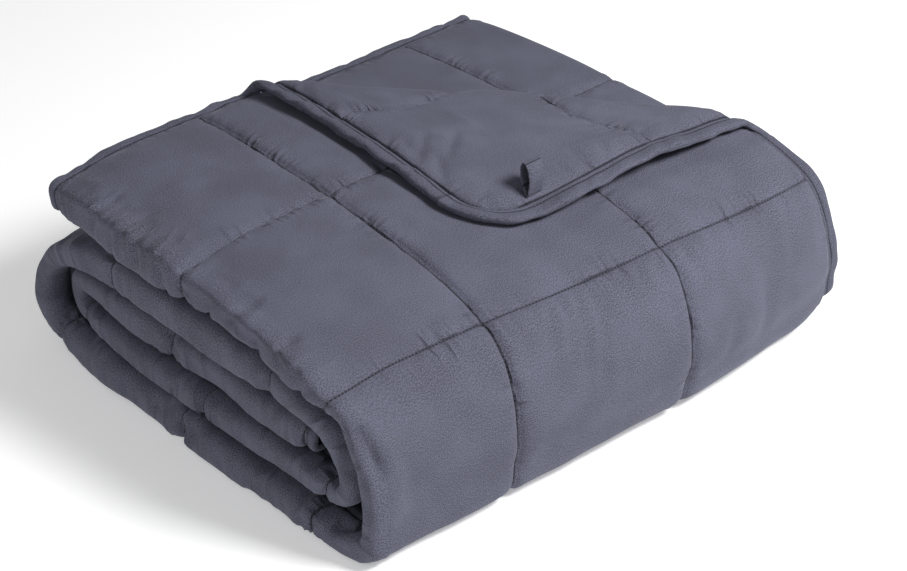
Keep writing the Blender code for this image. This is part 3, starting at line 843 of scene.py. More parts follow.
def mesh_object(name: str, places: Array, faces: list[list[int]], flats: Array) -> bpy.types.Object:
    """Make a smooth mesh object whose UV map "flat" holds metres on the flat cloth.

    Args:
        name: The object's name.
        places: The points' places.
        faces: The points of each face, in order, seen from outside.
        flats: The points' places on the flat cloth.

    Returns:
        The new object, at the origin.
    """
    mesh = bpy.data.meshes.new(name)
    mesh.from_pydata(places.tolist(), [], faces)
    around = np.zeros(len(mesh.loops), np.int32)
    mesh.loops.foreach_get("vertex_index", around)
    layer = mesh.uv_layers.new(name="flat")
    layer.data.foreach_set("uv", flats[around].astype(np.float32).ravel())
    mesh.shade_smooth()
    return in_scene(name, mesh)


def face_outward(obj: bpy.types.Object) -> None:
    """Turn a closed mesh's faces to point out."""
    bm = bmesh.new()
    bm.from_mesh(obj.data)
    bmesh.ops.recalc_face_normals(bm, faces=bm.faces[:])
    bm.to_mesh(obj.data)
    bm.free()


def tube_faces(rings: int, ring: int) -> list[list[int]]:
    """List the faces of a closed tube of so many rings, each of so many points."""
    faces = []
    for i in range(rings):
        a, b = i * ring, (i + 1) % rings * ring
        faces += [[a + k, b + k, b + (k + 1) % ring, a + (k + 1) % ring] for k in range(ring)]
    return faces


class GradedGrid:
    """A flat grid over the quilted squares whose cells halve where more detail is wanted."""

    def __init__(self, flat: FlatBlanket, levels: int = 6) -> None:
        """Set the grid out.

        Args:
            flat: The blanket that it covers.
            levels: How many times a quilted square may be halved.
        """
        self.flat = flat
        self.levels = levels
        self.finest = flat.square / 2**levels
        self.shape = (flat.squares_across << levels, flat.squares_along << levels)

    def middles(self) -> tuple[Array, Array]:
        """Give the middle of each finest cell, across and along."""
        u, v = (self.flat.binding + self.finest * (np.arange(n) + 0.5) for n in self.shape)
        return np.meshgrid(u, v, indexing="ij")

    def limit(self, wanted: Array) -> Array:
        """Turn wanted cell sizes in metres into how many halvings short of the finest they are."""
        return np.clip(np.floor(np.log2(wanted / self.finest)), 0, self.levels).astype(int)

    def balanced(self, limit: Array) -> Array:
        """Join finest cells into larger ones, none beside one more than twice its size.

        Args:
            limit: The largest size allowed over each finest cell, in doublings.

        Returns:
            The size of the cell over each finest cell, in doublings.
        """
        while True:
            sizes = np.zeros(self.shape, int)
            for level in range(1, self.levels + 1):
                n = 2**level
                blocks = limit.reshape(self.shape[0] // n, n, self.shape[1] // n, n).min(axis=(1, 3))
                sizes[np.kron(blocks >= level, np.ones((n, n), bool))] = level
            padded = np.pad(sizes, 1, mode="edge")
            near = (padded[:-2, 1:-1], padded[2:, 1:-1], padded[1:-1, :-2], padded[1:-1, 2:])
            tight = np.minimum.reduce(near) + 1
            if (sizes <= tight).all():
                return sizes
            limit = np.minimum(limit, tight)

    def matched(self, limits: dict[Side, Array]) -> dict[Side, Array]:
        """Balance both sides' cells so that they have the same sizes along the rim."""
        rim = np.ones(self.shape, bool)
        rim[1:-1, 1:-1] = False
        limits = dict(limits)
        while True:
            sizes = {side: self.balanced(limits[side]) for side in Side}
            lower = np.minimum(sizes[Side.FACE], sizes[Side.BACK])
            if all((sizes[side][rim] == lower[rim]).all() for side in Side):
                return sizes
            for side in Side:
                limits[side] = np.where(rim, np.minimum(limits[side], lower), limits[side])

    def polygons(self, sizes: Array) -> tuple[Array, list[list[int]], list[int]]:
        """Make the cells' polygons.

        Args:
            sizes: The size of the cell over each finest cell, in doublings.

        Returns:
            The corners in finest cells, each cell's corner numbers, and the rim's numbers in order.
        """
        used = np.zeros((self.shape[0] + 1, self.shape[1] + 1), bool)
        starts = {}
        for level in range(self.levels + 1):
            n = 2**level
            starts[level] = np.argwhere(sizes[::n, ::n] == level) * n
            for di, dj in ((0, 0), (n, 0), (n, n), (0, n)):
                used[starts[level][:, 0] + di, starts[level][:, 1] + dj] = True
        number = np.full(used.shape, -1)
        number[used] = np.arange(used.sum())
        cells = []
        for level, corners in starts.items():
            n, half = 2**level, 2**level // 2
            ring = ((0, 0), (half, 0), (n, 0), (n, half), (n, n), (half, n), (0, n), (0, half))
            around = np.stack([number[corners[:, 0] + di, corners[:, 1] + dj] for di, dj in ring], axis=1)
            step = 1 if half else 2
            cells += [[k for k in row[::step] if k >= 0] for row in around.tolist()]
        i, j = self.shape
        rim = [number[:i, 0], number[i, :j], number[i:0:-1, j], number[0, j:0:-1]]
        rim_numbers = [k for k in np.concatenate(rim).tolist() if k >= 0]
        return np.argwhere(used), cells, rim_numbers


@dataclass(frozen=True)
class Detail:
    """How large the face's cells are: a stretch of the flat blanket and the sizes on it."""

    u: Pair
    squares: Pair
    cell: float
    near_seam: float


@dataclass
class QuiltedCover:
    """The two quilted cloths of the blanket, closed along their rim."""

    blanket: FoldedBlanket
    quilting: Quilting
    # the cells' sizes, and how far round the turns and the crease the small ones reach
    hidden_cell: float = 0.0191
    near_seam: float = 0.0082
    turn_per_cell: float = 0.50
    turn_cell: float = 0.0049
    near_turn: float = 0.002
    crease_cell: float = 0.0025
    near_crease: Pair = (0.006, 0.012)
    # where the relief is free to stand out: metres across the flat blanket, squares along it
    rim_fade: float = 0.004
    touches_floor: float = 0.0012
    shows_to: float = 0.47
    back_turn_squares: float = 5.7
    left_turn_starts: Pair = (0.415, 0.43)
    left_turn_ends: Pair = (0.480, 0.465)
    inner_starts: float = 0.86
    inner_squares: float = 2.0
    clear_of_crease: Pair = (0.012, 0.03)
    left_share: float = 0.7
    inner_share: float = 0.8
    detail: tuple[Detail, ...] = (
        # the top and the front
        Detail((0.0, 0.475), (0.0, 2.95), 0.0049, 0.0025),
        # the bottom and the back
        Detail((0.0, 0.475), (2.95, 5.85), 0.0098, 0.0049),
        Detail((0.0, 0.475), (4.85, 5.75), 0.0049, 0.0049),
        # the left side's folds, and the inner fold at the right
        Detail((0.4185, 0.478), (0.0, 12.0), 0.0025, 0.0025),
        Detail((0.838, 0.876), (0.0, 12.0), 0.0049, 0.0049),
        # the inner ply, where the turned corner bares it
        Detail((0.835, 1.14), (0.0, 2.05), 0.0049, 0.0025),
    )

    def wanted(self, grid: GradedGrid, side: Side) -> Array:
        """Give the cell size wanted over each finest cell of one side."""
        u, v = grid.middles()
        squares = self.blanket.flat.squares(v)
        to_seam = np.minimum(np.abs(self.blanket.flat.to_seam(u)), np.abs(self.blanket.flat.to_seam(v)))
        size = np.full(u.shape, self.hidden_cell)
        for part in self.detail if side is Side.FACE else ():
            inside = (u > part.u[0]) & (u < part.u[1])
            inside &= (squares > part.squares[0]) & (squares < part.squares[1])
            cell = np.where(to_seam < self.near_seam, part.near_seam, part.cell)
            size = np.where(inside, np.minimum(size, cell), size)
        size = np.minimum(size, self.turn_per_cell * self.blanket.roll.bend_radius(squares))
        reach = self.near_turn
        for low, high in (self.blanket.thirds.left_turn, self.blanket.thirds.right_turn):
            turns = (u > low - reach) & (u < high + reach)
            size = np.where(turns, np.minimum(size, self.turn_cell), size)
        past = self.blanket.corner.past(u, v)
        before, beyond = self.near_crease
        flap = past > -before
        if side is Side.FACE:
            flap &= past < self.blanket.corner.bend + beyond
        return np.where(flap, self.crease_cell, size)

    def points(self, cells: Array, grid: GradedGrid, side: Side) -> tuple[Array, Array]:
        """Place the corners of one side's cells.

        Args:
            cells: Corners, in finest cells.
            grid: The grid that they belong to.
            side: Which cloth.

        Returns:
            The corners' places in the pile, and on the flat blanket.
        """
        flat, gap = self.blanket.flat, self.blanket.flat.piece_gap
        u, v = (
            np.clip(flat.binding + cells[:, k] * grid.finest, flat.binding + gap, size - flat.binding - gap)
            for k, size in enumerate((flat.width, flat.length))
        )
        round_u, round_v = flat.round_corners(u, v)
        w = side.value * self.quilting.half_thickness(u, v, side)
        out = self.blanket.outward(round_u, round_v, w, side)
        edge = np.minimum(np.minimum(u, flat.width - u), np.minimum(v, flat.length - v)) - flat.binding
        free = smooth_step(0.0, self.rim_fade, edge) * self.bared(u, v, side)
        relief = self.quilting.relief(u, v, side) * free
        place = self.blanket.place(round_u, round_v, w) + relief[:, None] * out
        height = place[:, 2]
        sunk = np.maximum(height - np.abs(relief), 0.0)
        place[:, 2] = np.where(height < self.touches_floor, sunk, height)
        return place, np.stack([round_u, round_v], axis=1)

    def bared(self, u: Array, v: Array, side: Side) -> Array:
        """Say where the cloth has room for relief: 1 where it shows, 0 between the layers."""
        corner, thirds = self.blanket.corner, self.blanket.thirds
        squares = self.blanket.flat.squares(v)
        past = corner.past(u, v)
        if side is Side.BACK:
            return smooth_step(*self.clear_of_crease, past)
        outside = (u < self.shows_to) & (squares < self.back_turn_squares) & (past <= 0.0)
        top = np.where(outside, corner.bared(u, v), 0.0)
        left_turn = smooth_step(*self.left_turn_starts, u) * smooth_step(*self.left_turn_ends, u)
        under = corner.past(thirds.strip_width - thirds.fold(u, np.zeros_like(u))[0], v)
        bared = smooth_step(*self.clear_of_crease, under)
        inner = np.where((u > self.inner_starts) & (squares < self.inner_squares), bared, 0.0)
        return np.maximum(top, np.maximum(self.left_share * left_turn, self.inner_share * inner))

    def build(self) -> bpy.types.Object:
        """Build the cover as one closed mesh.

        Returns:
            The object, with a UV map "flat" that holds metres on the flat blanket.
        """
        grid = GradedGrid(self.blanket.flat)
        sizes = grid.matched({side: grid.limit(self.wanted(grid, side)) for side in Side})
        places, flats, faces, rims, first = [], [], [], [], 0
        for side in Side:
            corners, cells, rim = grid.polygons(sizes[side])
            place, flat = self.points(corners, grid, side)
            turn = 1 if side is Side.FACE else -1
            faces += [[first + k for k in cell[::turn]] for cell in cells]
            rims.append([first + k for k in rim])
            places.append(place)
            flats.append(flat)
            first += len(place)
        face_rim, back_rim = rims
        for k, face in enumerate(face_rim):
            after = k + 1 - len(face_rim)
            faces.append([face, back_rim[k], back_rim[after], face_rim[after]])
        return mesh_object("quilted_cover", np.concatenate(places), faces, np.concatenate(flats))


# ---------------------------------------------------------------- the binding


@dataclass
class EdgeBinding:
    """The folded strip of cloth that is sewn all round the edge."""

    blanket: FoldedBlanket
    # its section
    thick: float = 0.0062
    seam_thick: float = 0.0018
    lip_thick: float = 0.0030
    seam_part: float = 0.74
    station: float = 0.0026
    hidden_station: float = 0.0065
    # how its edge wanders and how it swells between the stitches
    wander: float = 0.0011
    wander_spacing: float = 0.013
    swell: float = 0.34
    swell_spacing: float = 0.016
    fine_swell: float = 0.30
    fine_swell_spacing: float = 0.0075
    # how far its back is moved over in the UV map
    back_shift: float = 0.02
    # where its stations are close together
    shows_squares: float = 3.0
    shows_across: float = 1.15
    shows_past: float = 0.05
    turn_per_station: float = 0.30
    turn_station: float = 0.0018
    near_turn: float = 0.004
    near_crease: Pair = (-0.005, 0.03)

    def profile(self) -> tuple[Array, Array]:
        """Give the half section: parts of the width from the outer edge in, and half thicknesses."""
        rows = (
            # part of the width, share of a thickness, that thickness
            (0.0, 0.0, self.thick), (0.02, 0.38, self.thick), (0.07, 0.72, self.thick),
            (0.15, 0.93, self.thick), (0.27, 1.0, self.thick), (0.40, 0.96, self.thick),
            (0.53, 0.84, self.thick), (0.65, 0.70, self.thick), (self.seam_part, 1.0, self.seam_thick),
            (0.82, 1.0, self.lip_thick), (0.96, 0.96, self.lip_thick), (1.0, 0.60, self.lip_thick),
        )
        parts, shares, thicks = np.array(rows).T
        return parts, 0.5 * (shares * thicks)

    @property
    def stitched_at(self) -> Pair:
        """Where the stitching lies in the tape's UV map, on its face and on its back."""
        across = self.seam_part * self.blanket.flat.binding
        return across, across + self.back_shift

    def path(self) -> tuple[Array, Array]:
        """Walk round the blanket's edge.

        Returns:
            Points on the edge, and the directions inward from it.
        """
        flat = self.blanket.flat
        radius, points, inward = flat.corner_radius, [], []
        legs = (
            ((radius, 0.0), (1.0, 0.0), flat.width - 2 * radius),
            ((flat.width, radius), (0.0, 1.0), flat.length - 2 * radius),
            ((flat.width - radius, flat.length), (-1.0, 0.0), flat.width - 2 * radius),
            ((0.0, flat.length - radius), (0.0, -1.0), flat.length - 2 * radius),
        )
        steps = max(8, round(math.pi / 2 * radius / self.station))
        for corner, direction, run in legs:
            start, heading = np.array(corner), np.array(direction)
            left = np.array((-heading[1], heading[0]))
            for part in self.stations(start, heading, run):
                points.append(start + heading * part)
                inward.append(left)
            centre = start + heading * run + left * radius
            for k in range(1, steps + 1):
                angle = math.pi / 2 * k / (steps + 1)
                out = -left * math.cos(angle) + heading * math.sin(angle)
                points.append(centre + out * radius)
                inward.append(-out)
        return np.array(points), np.array(inward)

    def stations(self, start: Array, heading: Array, run: float) -> Array:
        """Set out the stations of one straight leg, closer where it shows or bends."""
        fine = np.linspace(0.0, run, 2001)
        u, v = (start + fine[:, None] * heading).T
        squares = self.blanket.flat.squares(v)
        shows = (squares < self.shows_squares) & ((u < self.shows_across) | (v > self.shows_past))
        size = np.where(shows, self.station, self.hidden_station)
        size = np.minimum(size, self.turn_per_station * self.blanket.roll.bend_radius(squares))
        past = self.blanket.corner.past(u, v)
        bends = (past > self.near_crease[0]) & (past < self.near_crease[1])
        for low, high in (self.blanket.thirds.left_turn, self.blanket.thirds.right_turn):
            bends |= (u > low - self.near_turn) & (u < high + self.near_turn)
        size = np.where(bends, np.minimum(size, self.turn_station), size)
        counts = np.concatenate(([0.0], np.cumsum(np.diff(fine) / size[:-1])))
        whole = round(counts[-1])
        return np.interp(np.arange(whole + 1) / whole * counts[-1], counts, fine)

    def build(self) -> bpy.types.Object:
        """Build the binding as one closed ring with a rounded section."""
        points, inward = self.path()
        parts, half = self.profile()
        width = self.blanket.flat.binding
        section_in = np.concatenate([parts, parts[:0:-1]])
        section_w = np.concatenate([half, -half[:0:-1]])
        run = run_along(points)
        wander = self.wander * soft_noise(run / self.wander_spacing, np.full_like(run, 4.0), 73)
        free = np.maximum(0.0, 1.0 - section_in / self.seam_part)
        depth = (section_in * width)[None, :] + wander[:, None] * free[None, :]
        spots = points[:, None, :] + inward[:, None, :] * depth[..., None]
        count, ring = len(points), len(section_in)
        along, across = np.repeat(run, ring), np.tile(section_in, count)
        w = np.tile(section_w, count)
        # each side of the tape reads its own rows of the noise
        own_row = np.sign(w) * 3.0
        swell = 1.0 + self.swell * soft_noise(along / self.swell_spacing + 1.3 * across, own_row + 9.0, 71)
        fine = along / self.fine_swell_spacing + 2.0 * across
        w = w * (swell + self.fine_swell * soft_noise(fine, own_row + 19.0, 72))
        places = self.blanket.place(spots[..., 0].ravel(), spots[..., 1].ravel(), w)
        flats = np.stack([along, np.tile(section_in * width, count) + self.back_shift * (w < 0)], axis=1)
        obj = mesh_object("bound_edge", places, tube_faces(count, ring), flats)
        face_outward(obj)
        return obj


# ---------------------------------------------------------------- the tape loop


@dataclass
class TapeLoop:
    """The narrow tape, doubled and caught in the binding's seam, that a cover is tied to."""

    low: Vector
    high: Vector
    thick: float = 0.0011
    lean: float = 0.20
    ring_points: int = 44
    half_depth: float = 0.0042
    foot_share: float = 0.55
    belly: Pair = (0.0, 0.6)
    top_narrows: float = 0.25
    top: Pair = (0.80, 1.0)
    squareness: float = 0.7
    skew: float = 0.0016
    skew_length: float = 0.024
    flat_step: float = 0.0012
    half_section: tuple[Pair, ...] = (
        # share of the half width, share of the half thickness
        (-1.0, 0.0), (-0.97, 0.7), (-0.88, 1.0), (-0.55, 0.86), (0.0, 0.80), (0.55, 0.86), (0.88, 1.0),
        (0.97, 0.7),
    )

    def centreline(self) -> Array:
        """Give the tape's path seen along its width: up one leg, over the top and down the other."""
        height = self.high.z - self.low.z
        points = []
        for k in range(self.ring_points):
            angle = -math.pi / 2 + 2 * math.pi * (k + 0.5) / self.ring_points
            rise = 0.5 * (1.0 + math.sin(angle))
            opens = self.foot_share + (1.0 - self.foot_share) * smooth_step(*self.belly, rise).item()
            half = self.half_depth * opens * (1.0 - self.top_narrows * smooth_step(*self.top, rise).item())
            side = half * math.copysign(abs(math.cos(angle)) ** self.squareness, math.cos(angle))
            points.append((side + rise * height * self.lean, self.thick / 2 + rise * (height - self.thick)))
        return np.array(points)

    def build(self) -> bpy.types.Object:
        """Build the loop as one closed mesh with rolled tape edges."""
        line = self.centreline()
        run = unit(np.roll(line, -1, axis=0) - np.roll(line, 1, axis=0))
        out = np.stack([run[:, 1], -run[:, 0]], axis=1)
        half_width = (self.high.x - self.low.x) / 2
        middle_x = (self.high.x + self.low.x) / 2
        shift_y = self.low.y - (line[:, 0].min() - self.thick / 2)
        section = (*self.half_section, *((-across, -through) for across, through in self.half_section))
        places, flats = [], []
        for k, spot in enumerate(line):
            for across, through in section:
                lifted = spot + out[k] * through * self.thick / 2
                x = middle_x + across * half_width + self.skew * (spot[1] / self.skew_length - 0.5)
                places.append((x, shift_y + lifted[0], self.low.z + lifted[1]))
                flats.append((across * half_width, k * self.flat_step))
        faces = tube_faces(len(line), len(section))
        obj = mesh_object("tape_loop", np.array(places), faces, np.array(flats))
        face_outward(obj)
        return obj


# ---------------------------------------------------------------- node trees


class Nodes:
    """A node tree, with short ways to add to it that give back an output socket."""

    def __init__(self, tree: bpy.types.NodeTree) -> None:
        """Start from an empty tree."""
        tree.nodes.clear()
        self.tree = tree

    def add(
        self, kind: str, inputs: dict[str | int, object] | None = None, **settings: object
    ) -> bpy.types.Node:
        """Add a node with its settings, values and links.

        Args:
            kind: The node's type name.
            inputs: Input sockets by name or number, each with a value or an output socket to link.
            **settings: The node's own properties.

        Returns:
            The new node.
        """
        node = self.tree.nodes.new(kind)
        for name, value in settings.items():
            setattr(node, name, value)
        for key, value in (inputs or {}).items():
            if isinstance(value, Socket):
                self.tree.links.new(value, node.inputs[key])
            else:
                node.inputs[key].default_value = value
        return node

    def math(self, operation: str, *values: Socket | float, **settings: object) -> Socket:
        """Work one value out from up to three others."""
        return self.add("ShaderNodeMath", dict(enumerate(values)), operation=operation, **settings).outputs[0]

    def product(self, first: Socket, *others: Socket) -> Socket:
        """Multiply values."""
        for value in others:
            first = self.math("MULTIPLY", first, value)
        return first

    def pair(self, x: Socket, y: Socket) -> Socket:
        """Join two values into a vector."""
        return self.add("ShaderNodeCombineXYZ", {0: x, 1: y}).outputs[0]

    def noise(self, spot: Socket, size: Pair, detail: float = 1.0) -> Socket:
        """Add soft noise whose bumps have a real size across and along, in metres."""
        per_metre = {0: spot, 1: (1.0 / size[0], 1.0 / size[1], 1.0)}
        scaled = self.add("ShaderNodeVectorMath", per_metre, operation="MULTIPLY").outputs[0]
        inputs = {"Vector": scaled, "Scale": 1.0, "Detail": detail, "Roughness": 0.6}
        return self.add("ShaderNodeTexNoise", inputs).outputs[0]

    def ranged(self, value: Socket, given: Pair, wanted: Pair = (0.0, 1.0)) -> Socket:
        """Turn one range of values softly into another."""
        inputs = dict(enumerate((value, *given, *wanted)))
        return self.add("ShaderNodeMapRange", inputs, interpolation_type="SMOOTHSTEP").outputs[0]

    def ridged(self, value: Socket) -> Socket:
        """Turn soft noise into narrow ridges between wide hollows."""
        centred = self.math("ADD", value, -0.5)
        return self.math("MULTIPLY_ADD", self.math("ABSOLUTE", centred), -5.0, 1.0)

    def mixed(self, share: Socket, first: object, second: object) -> Socket:
        """Mix two colours by a share."""
        return self.add("ShaderNodeMix", {0: share, 6: first, 7: second}, data_type="RGBA").outputs[2]

    def bump(self, height: Socket, depth: float, *normal: Socket, strength: float = 1.0) -> Socket:
        """Raise the surface, or a normal already made, by a height from 0 to 1 of a depth in metres."""
        inputs = {"Strength": strength, "Distance": depth, "Height": height}
        inputs.update(zip(("Normal",), normal))
        return self.add("ShaderNodeBump", inputs).outputs[0]

    def surface(self, **inputs: object) -> None:
        """Finish a material with its surface; the sockets' names have _ in place of spaces."""
        named = {name.replace("_", " "): value for name, value in inputs.items()}
        shader = self.add("ShaderNodeBsdfPrincipled", named)
        self.add("ShaderNodeOutputMaterial", {"Surface": shader.outputs[0]})


def new_material(name: str) -> tuple[bpy.types.Material, Nodes]:
    """Make a material and take its tree over."""
    material = bpy.data.materials.new(name)
    material.use_nodes = True
    return material, Nodes(material.node_tree)


# ---------------------------------------------------------------- stitches


@dataclass(frozen=True)
class StitchSizes:
    """The size of one stitch of the sewing thread as it lies on the cloth."""

    pitch: float = 0.0027
    length: float = 0.0019
    width: float = 0.00062
    height: float = 0.00046
    unevenness: float = 0.12


@dataclass
class Stitching:
    """Lines of stitches, each instanced by Geometry Nodes on points that know their direction."""

    name: str
    sizes: StitchSizes
    thread: bpy.types.Material
    spots: list[Array] = field(default_factory=list)
    along: list[Array] = field(default_factory=list)
    out: list[Array] = field(default_factory=list)

    def add_line(self, place: Callable[[Array, float], Array], run: float) -> None:
        """Add a line of stitches.

        Args:
            place: Gives places at distances along the line, at a height over the cloth.
            run: The line's length on the flat cloth.
        """
        middles = np.arange(self.sizes.pitch / 2, run, self.sizes.pitch)
        probe = 0.0004
        self.spots.append(place(middles, 0.0))
        self.along.append(unit(place(middles + probe, 0.0) - place(middles - probe, 0.0)))
        self.out.append(unit(place(middles, probe) - place(middles, 0.0)))

    @property
    def inputs(self) -> dict[str, float]:
        """The node tree's own values, by name."""
        sizes = self.sizes
        return {
            "Length": sizes.length,
            "Width": sizes.width,
            "Height": sizes.height,
            "Unevenness": sizes.unevenness,
        }

    def tree(self) -> bpy.types.NodeTree:
        """Build the node tree that puts a stitch on each point and realizes them."""
        tree = bpy.data.node_groups.new(self.name, "GeometryNodeTree")
        nodes, sockets = Nodes(tree), tree.interface
        sockets.new_socket("Points", in_out="INPUT", socket_type="NodeSocketGeometry")
        for name in self.inputs:
            sockets.new_socket(name, in_out="INPUT", socket_type="NodeSocketFloat")
        sockets.new_socket("Stitches", in_out="OUTPUT", socket_type="NodeSocketGeometry")
        given = nodes.add("NodeGroupInput").outputs
        ball = nodes.add("GeometryNodeMeshIcoSphere", {"Radius": 0.5, "Subdivisions": 1})
        along, out = (
            nodes.add("GeometryNodeInputNamedAttribute", {"Name": name}, data_type="FLOAT_VECTOR").outputs[0]
            for name in ("along", "out")
        )
        axes = {"Primary Axis": out, "Secondary Axis": along}
        turn = nodes.add("FunctionNodeAxesToRotation", axes, primary_axis="Z", secondary_axis="X")
        low, high = (nodes.math(sign, 1.0, given["Unevenness"]) for sign in ("SUBTRACT", "ADD"))
        grown = nodes.add("FunctionNodeRandomValue", {"Min": low, "Max": high, "Seed": 5}, data_type="FLOAT")
        sides = {"X": given["Length"], "Y": given["Width"], "Z": given["Height"]}
        size = nodes.add("ShaderNodeCombineXYZ", sides).outputs[0]
        sized = {0: size, "Scale": grown.outputs["Value"]}
        scaled = nodes.add("ShaderNodeVectorMath", sized, operation="SCALE")
        laid = {
            "Points": given["Points"],
            "Instance": ball.outputs["Mesh"],
            "Rotation": turn.outputs["Rotation"],
            "Scale": scaled.outputs[0],
        }
        stitches = nodes.add("GeometryNodeInstanceOnPoints", laid).outputs[0]
        stitches = nodes.add("GeometryNodeRealizeInstances", {"Geometry": stitches}).outputs[0]
        smooth = {"Geometry": stitches, "Shade Smooth": True}
        stitches = nodes.add("GeometryNodeSetShadeSmooth", smooth).outputs[0]
        dressed = {"Geometry": stitches, "Material": self.thread}
        nodes.add("NodeGroupOutput", {0: nodes.add("GeometryNodeSetMaterial", dressed).outputs[0]})
        return tree

    def build(self) -> bpy.types.Object:
        """Build the stitches as one plain mesh.

        Returns:
            The object, at the origin.
        """
        mesh = bpy.data.meshes.new(self.name)
        mesh.from_pydata(np.concatenate(self.spots).tolist(), [], [])
        for name, rows in (("along", self.along), ("out", self.out)):
            values = mesh.attributes.new(name, "FLOAT_VECTOR", "POINT")
            values.data.foreach_set("vector", np.concatenate(rows).astype(np.float32).ravel())
        obj = in_scene(self.name, mesh)
        modifier = obj.modifiers.new("stitches", "NODES")
        modifier.node_group = self.tree()
        for item in modifier.node_group.interface.items_tree:
            if item.in_out == "INPUT" and item.name in self.inputs:
                modifier[item.identifier] = self.inputs[item.name]
        evaluated = obj.evaluated_get(bpy.context.evaluated_depsgraph_get())
        plain = bpy.data.meshes.new_from_object(evaluated)
        plain.name = self.name
        obj.modifiers.clear()
        obj.data = plain
        return obj


@dataclass
class QuiltSewing:
    """The quilting seams' stitches, where they show."""

    blanket: FoldedBlanket
    quilting: Quilting
    # which seams show, and from where to where
    clear: float = 0.002
    left_turn: Pair = (0.424, 0.474)
    face_rows: int = 5
    back_turn_squares: float = 5.75
    outer_columns: tuple[int, ...] = (1, 2)
    inner_columns: tuple[int, ...] = (6, 7)
    inner_length: float = 0.29
    inner_row: Pair = (0.85, 0.28)

    def seam(self, run: SeamRun, number: int, start: float, side: Side) -> Callable[[Array, float], Array]:
        """Give the way along one seam.

        Args:
            run: Whether it is a row or a column.
            number: Which, counted from the first seam line.
            start: Where the line starts, in metres from the edge.
            side: Which cloth it is seen on.

        Returns:
            A function from distances and a height to places.
        """
        line = self.blanket.flat.binding + number * self.blanket.flat.square

        def place(distance: Array, height: float) -> Array:
            along, over = start + distance, np.full(len(distance), line)
            u, v = (along, over) if run is SeamRun.ACROSS else (over, along)
            half = self.quilting.half_thickness(u, v, side) + height
            return self.blanket.place(u, v, side.value * half)

        return place

    def sew(self, thread: bpy.types.Material) -> bpy.types.Object:
        """Sew every seam that shows."""
        stitching = Stitching("quilt_stitches", StitchSizes(), thread)
        flat, corner = self.blanket.flat, self.blanket.corner
        edge = flat.binding + self.clear
        turn_starts, turn_ends = self.left_turn
        most_bow = max(bow for _, bow in corner.bow)

        def add(run: SeamRun, number: int, start: float, length: float, side: Side = Side.FACE) -> None:
            stitching.add_line(self.seam(run, number, start, side), length)

        for row in range(1, flat.squares_along):
            place = flat.binding + row * flat.square
            bare = corner.from_corner_back * (1.0 - place / corner.from_corner_side)
            start = max(edge, bare + self.clear) if row <= self.face_rows else turn_starts
            add(SeamRun.ACROSS, row, start, turn_ends - start)
            if bare > edge:
                add(SeamRun.ACROSS, row, edge, bare + most_bow - edge, Side.BACK)
        for column in self.outer_columns:
            place = flat.binding + column * flat.square
            bare = corner.from_corner_side * (1.0 - place / corner.from_corner_back)
            start = max(edge, bare + self.clear)
            add(SeamRun.ALONG, column, start, self.back_turn_squares * flat.square - start)
            if bare > edge:
                add(SeamRun.ALONG, column, edge, bare + most_bow - edge, Side.BACK)
        for column in self.inner_columns:
            add(SeamRun.ALONG, column, edge, self.inner_length)
        add(SeamRun.ACROSS, 1, *self.inner_row)
        return stitching.build()


@dataclass
class BindingSewing:
    """The line of stitches that holds the binding, on both of its sides."""

    blanket: FoldedBlanket
    binding: EdgeBinding

    def sew(self, thread: bpy.types.Material) -> bpy.types.Object:
        """Sew round the whole edge."""
        sizes = StitchSizes(pitch=0.0030, length=0.0021, width=0.0005, height=0.0004)
        stitching = Stitching("binding_stitches", sizes, thread)
        points, inward = self.binding.path()
        run = run_along(points)
        line = points + inward * self.binding.seam_part * self.blanket.flat.binding
        for side in Side:

            def place(distance: Array, height: float, side: Side = side) -> Array:
                u, v = (np.interp(distance, run, line[:, k]) for k in (0, 1))
                half = self.binding.seam_thick / 2 + height
                return self.blanket.place(u, v, np.full(len(u), side.value * half))

            stitching.add_line(place, run[-1])
        return stitching.build()


# ---------------------------------------------------------------- finishes


def linear(hex_colour: str) -> tuple[float, float, float, float]:
    """Turn an sRGB hex colour into the linear one that shaders take."""
    parts = [int(hex_colour[i : i + 2], 16) / 255.0 for i in (1, 3, 5)]
    return (*(p / 12.92 if p <= 0.04045 else ((p + 0.055) / 1.055) ** 2.4 for p in parts), 1.0)


